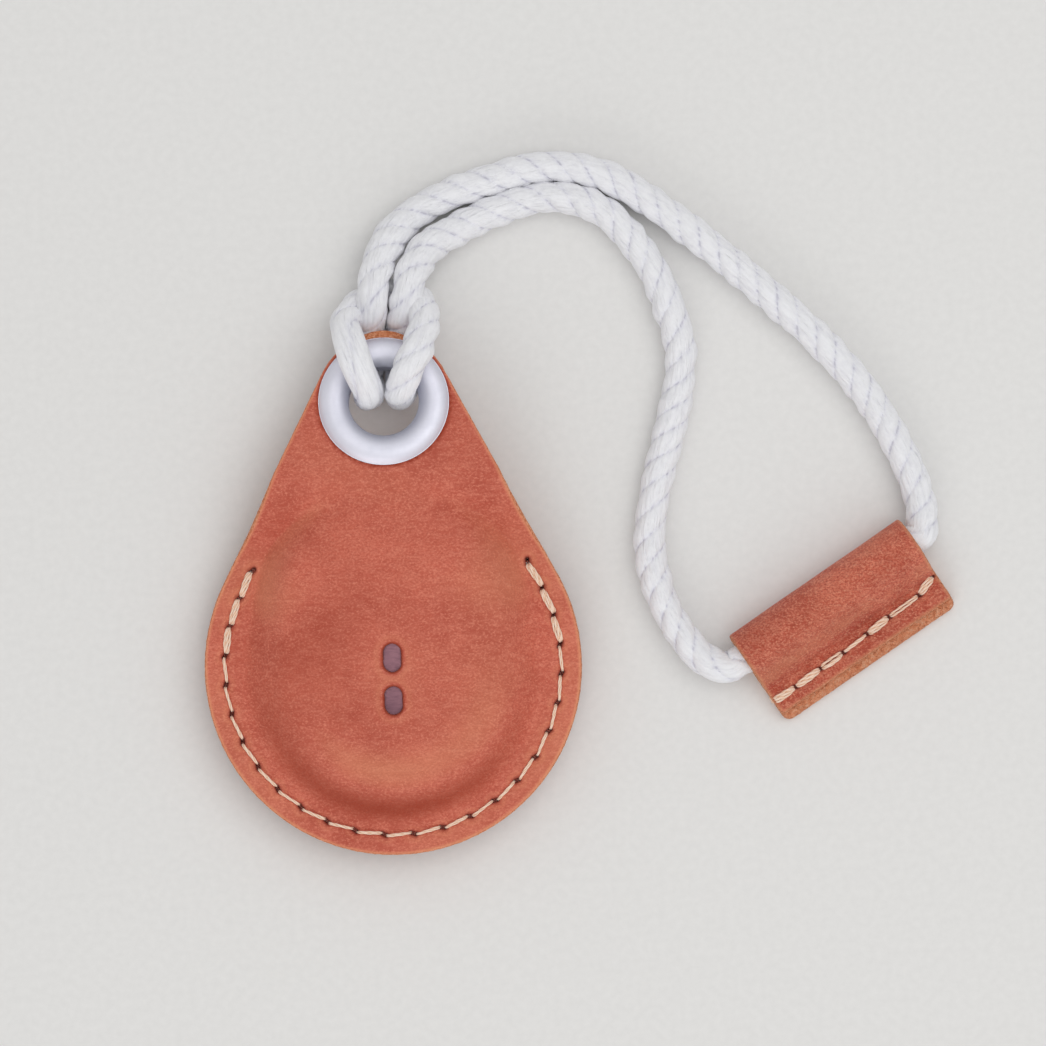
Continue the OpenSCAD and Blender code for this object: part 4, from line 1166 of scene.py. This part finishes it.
def finish_tag():
    """Every piece of the tag keeps its CAD shape and gets a finish of its own."""
    finishes = {
        "tag_shell": plastic_material("shell_plastic", "#F1F1EF", "#E2E2E0", 0.26, 5200),
        "tag_frame": plastic_material("frame_plastic", "#DEDFDD", "#CBCCCA", 0.45, 4200),
        "tag_door_liner": plastic_material("liner_plastic", "#E9E9E6", "#D6D6D2", 0.4, 4600),
        "tag_circuit_board": board_material(),
        "tag_voice_coil": coil_material(),
        "tag_magnet": turned_metal("magnet_nickel", "#B9B6AE", "#8F8C86", 0.3, 2600),
        "tag_contact_springs": metal_material("spring_brass", "#D9B36A", "#B58C44", 0.28, 3600, 0.006),
        "tag_coin_cell": cell_material(),
        "tag_seal": rubber_material(),
        # the steel door, seen through the slots: its purple-grey colour is a painted reflection of its dark
        # surroundings
        "tag_steel_door": turned_metal("door_steel", "#846068", "#664A56", 0.36, 5200),
    }
    for node, material in finishes.items():
        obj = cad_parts[node]
        if not obj.material_slots:
            obj.data.materials.append(material)
        for slot in obj.material_slots:
            slot.material = material


finish_tag()


# ---------------------------------------------------------------- floor, lamps and world
def add_studio():
    p = Paint("floor", Specular_IOR_Level=0.1)
    fine = p.noise(900, 3, 0.5)
    floor = p.finish(p.ramp(fine, [(0.3, "#E6E5E3"), (0.7, "#EAE9E7")]), 0.9)
    span = 900.0
    verts = [[x * span, y * span, -0.02] for x, y in ((-1, -1), (1, -1), (1, 1), (-1, 1))]
    ground = make_object("floor", verts, [(0, 1, 2, 3)], None, floor)

    def lamp(name, place, target, power, size):
        data = bpy.data.lights.new(name, "AREA")
        data.energy, data.size = power, size
        obj = bpy.data.objects.new(name, data)
        bpy.context.scene.collection.objects.link(obj)
        obj.location = place
        obj.rotation_euler = (Vector(target) - Vector(place)).to_track_quat("-Z", "Y").to_euler()

    target = (0.02, 0.02, 0.0)
    lamp("key", (0.30, 0.18, 0.85), target, 2.7, 0.9)
    lamp("fill", (-0.15, -0.75, 0.4), target, 1.5, 0.5)

    world = bpy.data.worlds.new("studio")
    bpy.context.scene.world = world
    world.use_nodes = True
    nodes, links = world.node_tree.nodes, world.node_tree.links
    light = nodes["Background"]
    light.inputs["Color"].default_value = (1.0, 1.0, 1.0, 1.0)
    light.inputs["Strength"].default_value = 0.58
    pale = nodes.new("ShaderNodeBackground")
    pale.inputs["Color"].default_value = rgb("#ECEBEA")
    pale.inputs["Strength"].default_value = 1.0
    rays = nodes.new("ShaderNodeLightPath")

    def either(a, b):
        node = nodes.new("ShaderNodeMath")
        node.operation = "MAXIMUM"
        links.new(a, node.inputs[0])
        links.new(b, node.inputs[1])
        return node.outputs[0]

    seen = either(rays.outputs["Is Camera Ray"], rays.outputs["Is Glossy Ray"])
    seen = either(seen, rays.outputs["Is Transmission Ray"])
    mixer = nodes.new("ShaderNodeMixShader")
    links.new(seen, mixer.inputs[0])
    links.new(light.outputs[0], mixer.inputs[1])
    links.new(pale.outputs[0], mixer.inputs[2])
    links.new(mixer.outputs[0], nodes["World Output"].inputs["Surface"])


add_studio()
bpy.context.scene.view_settings.view_transform = "Standard"
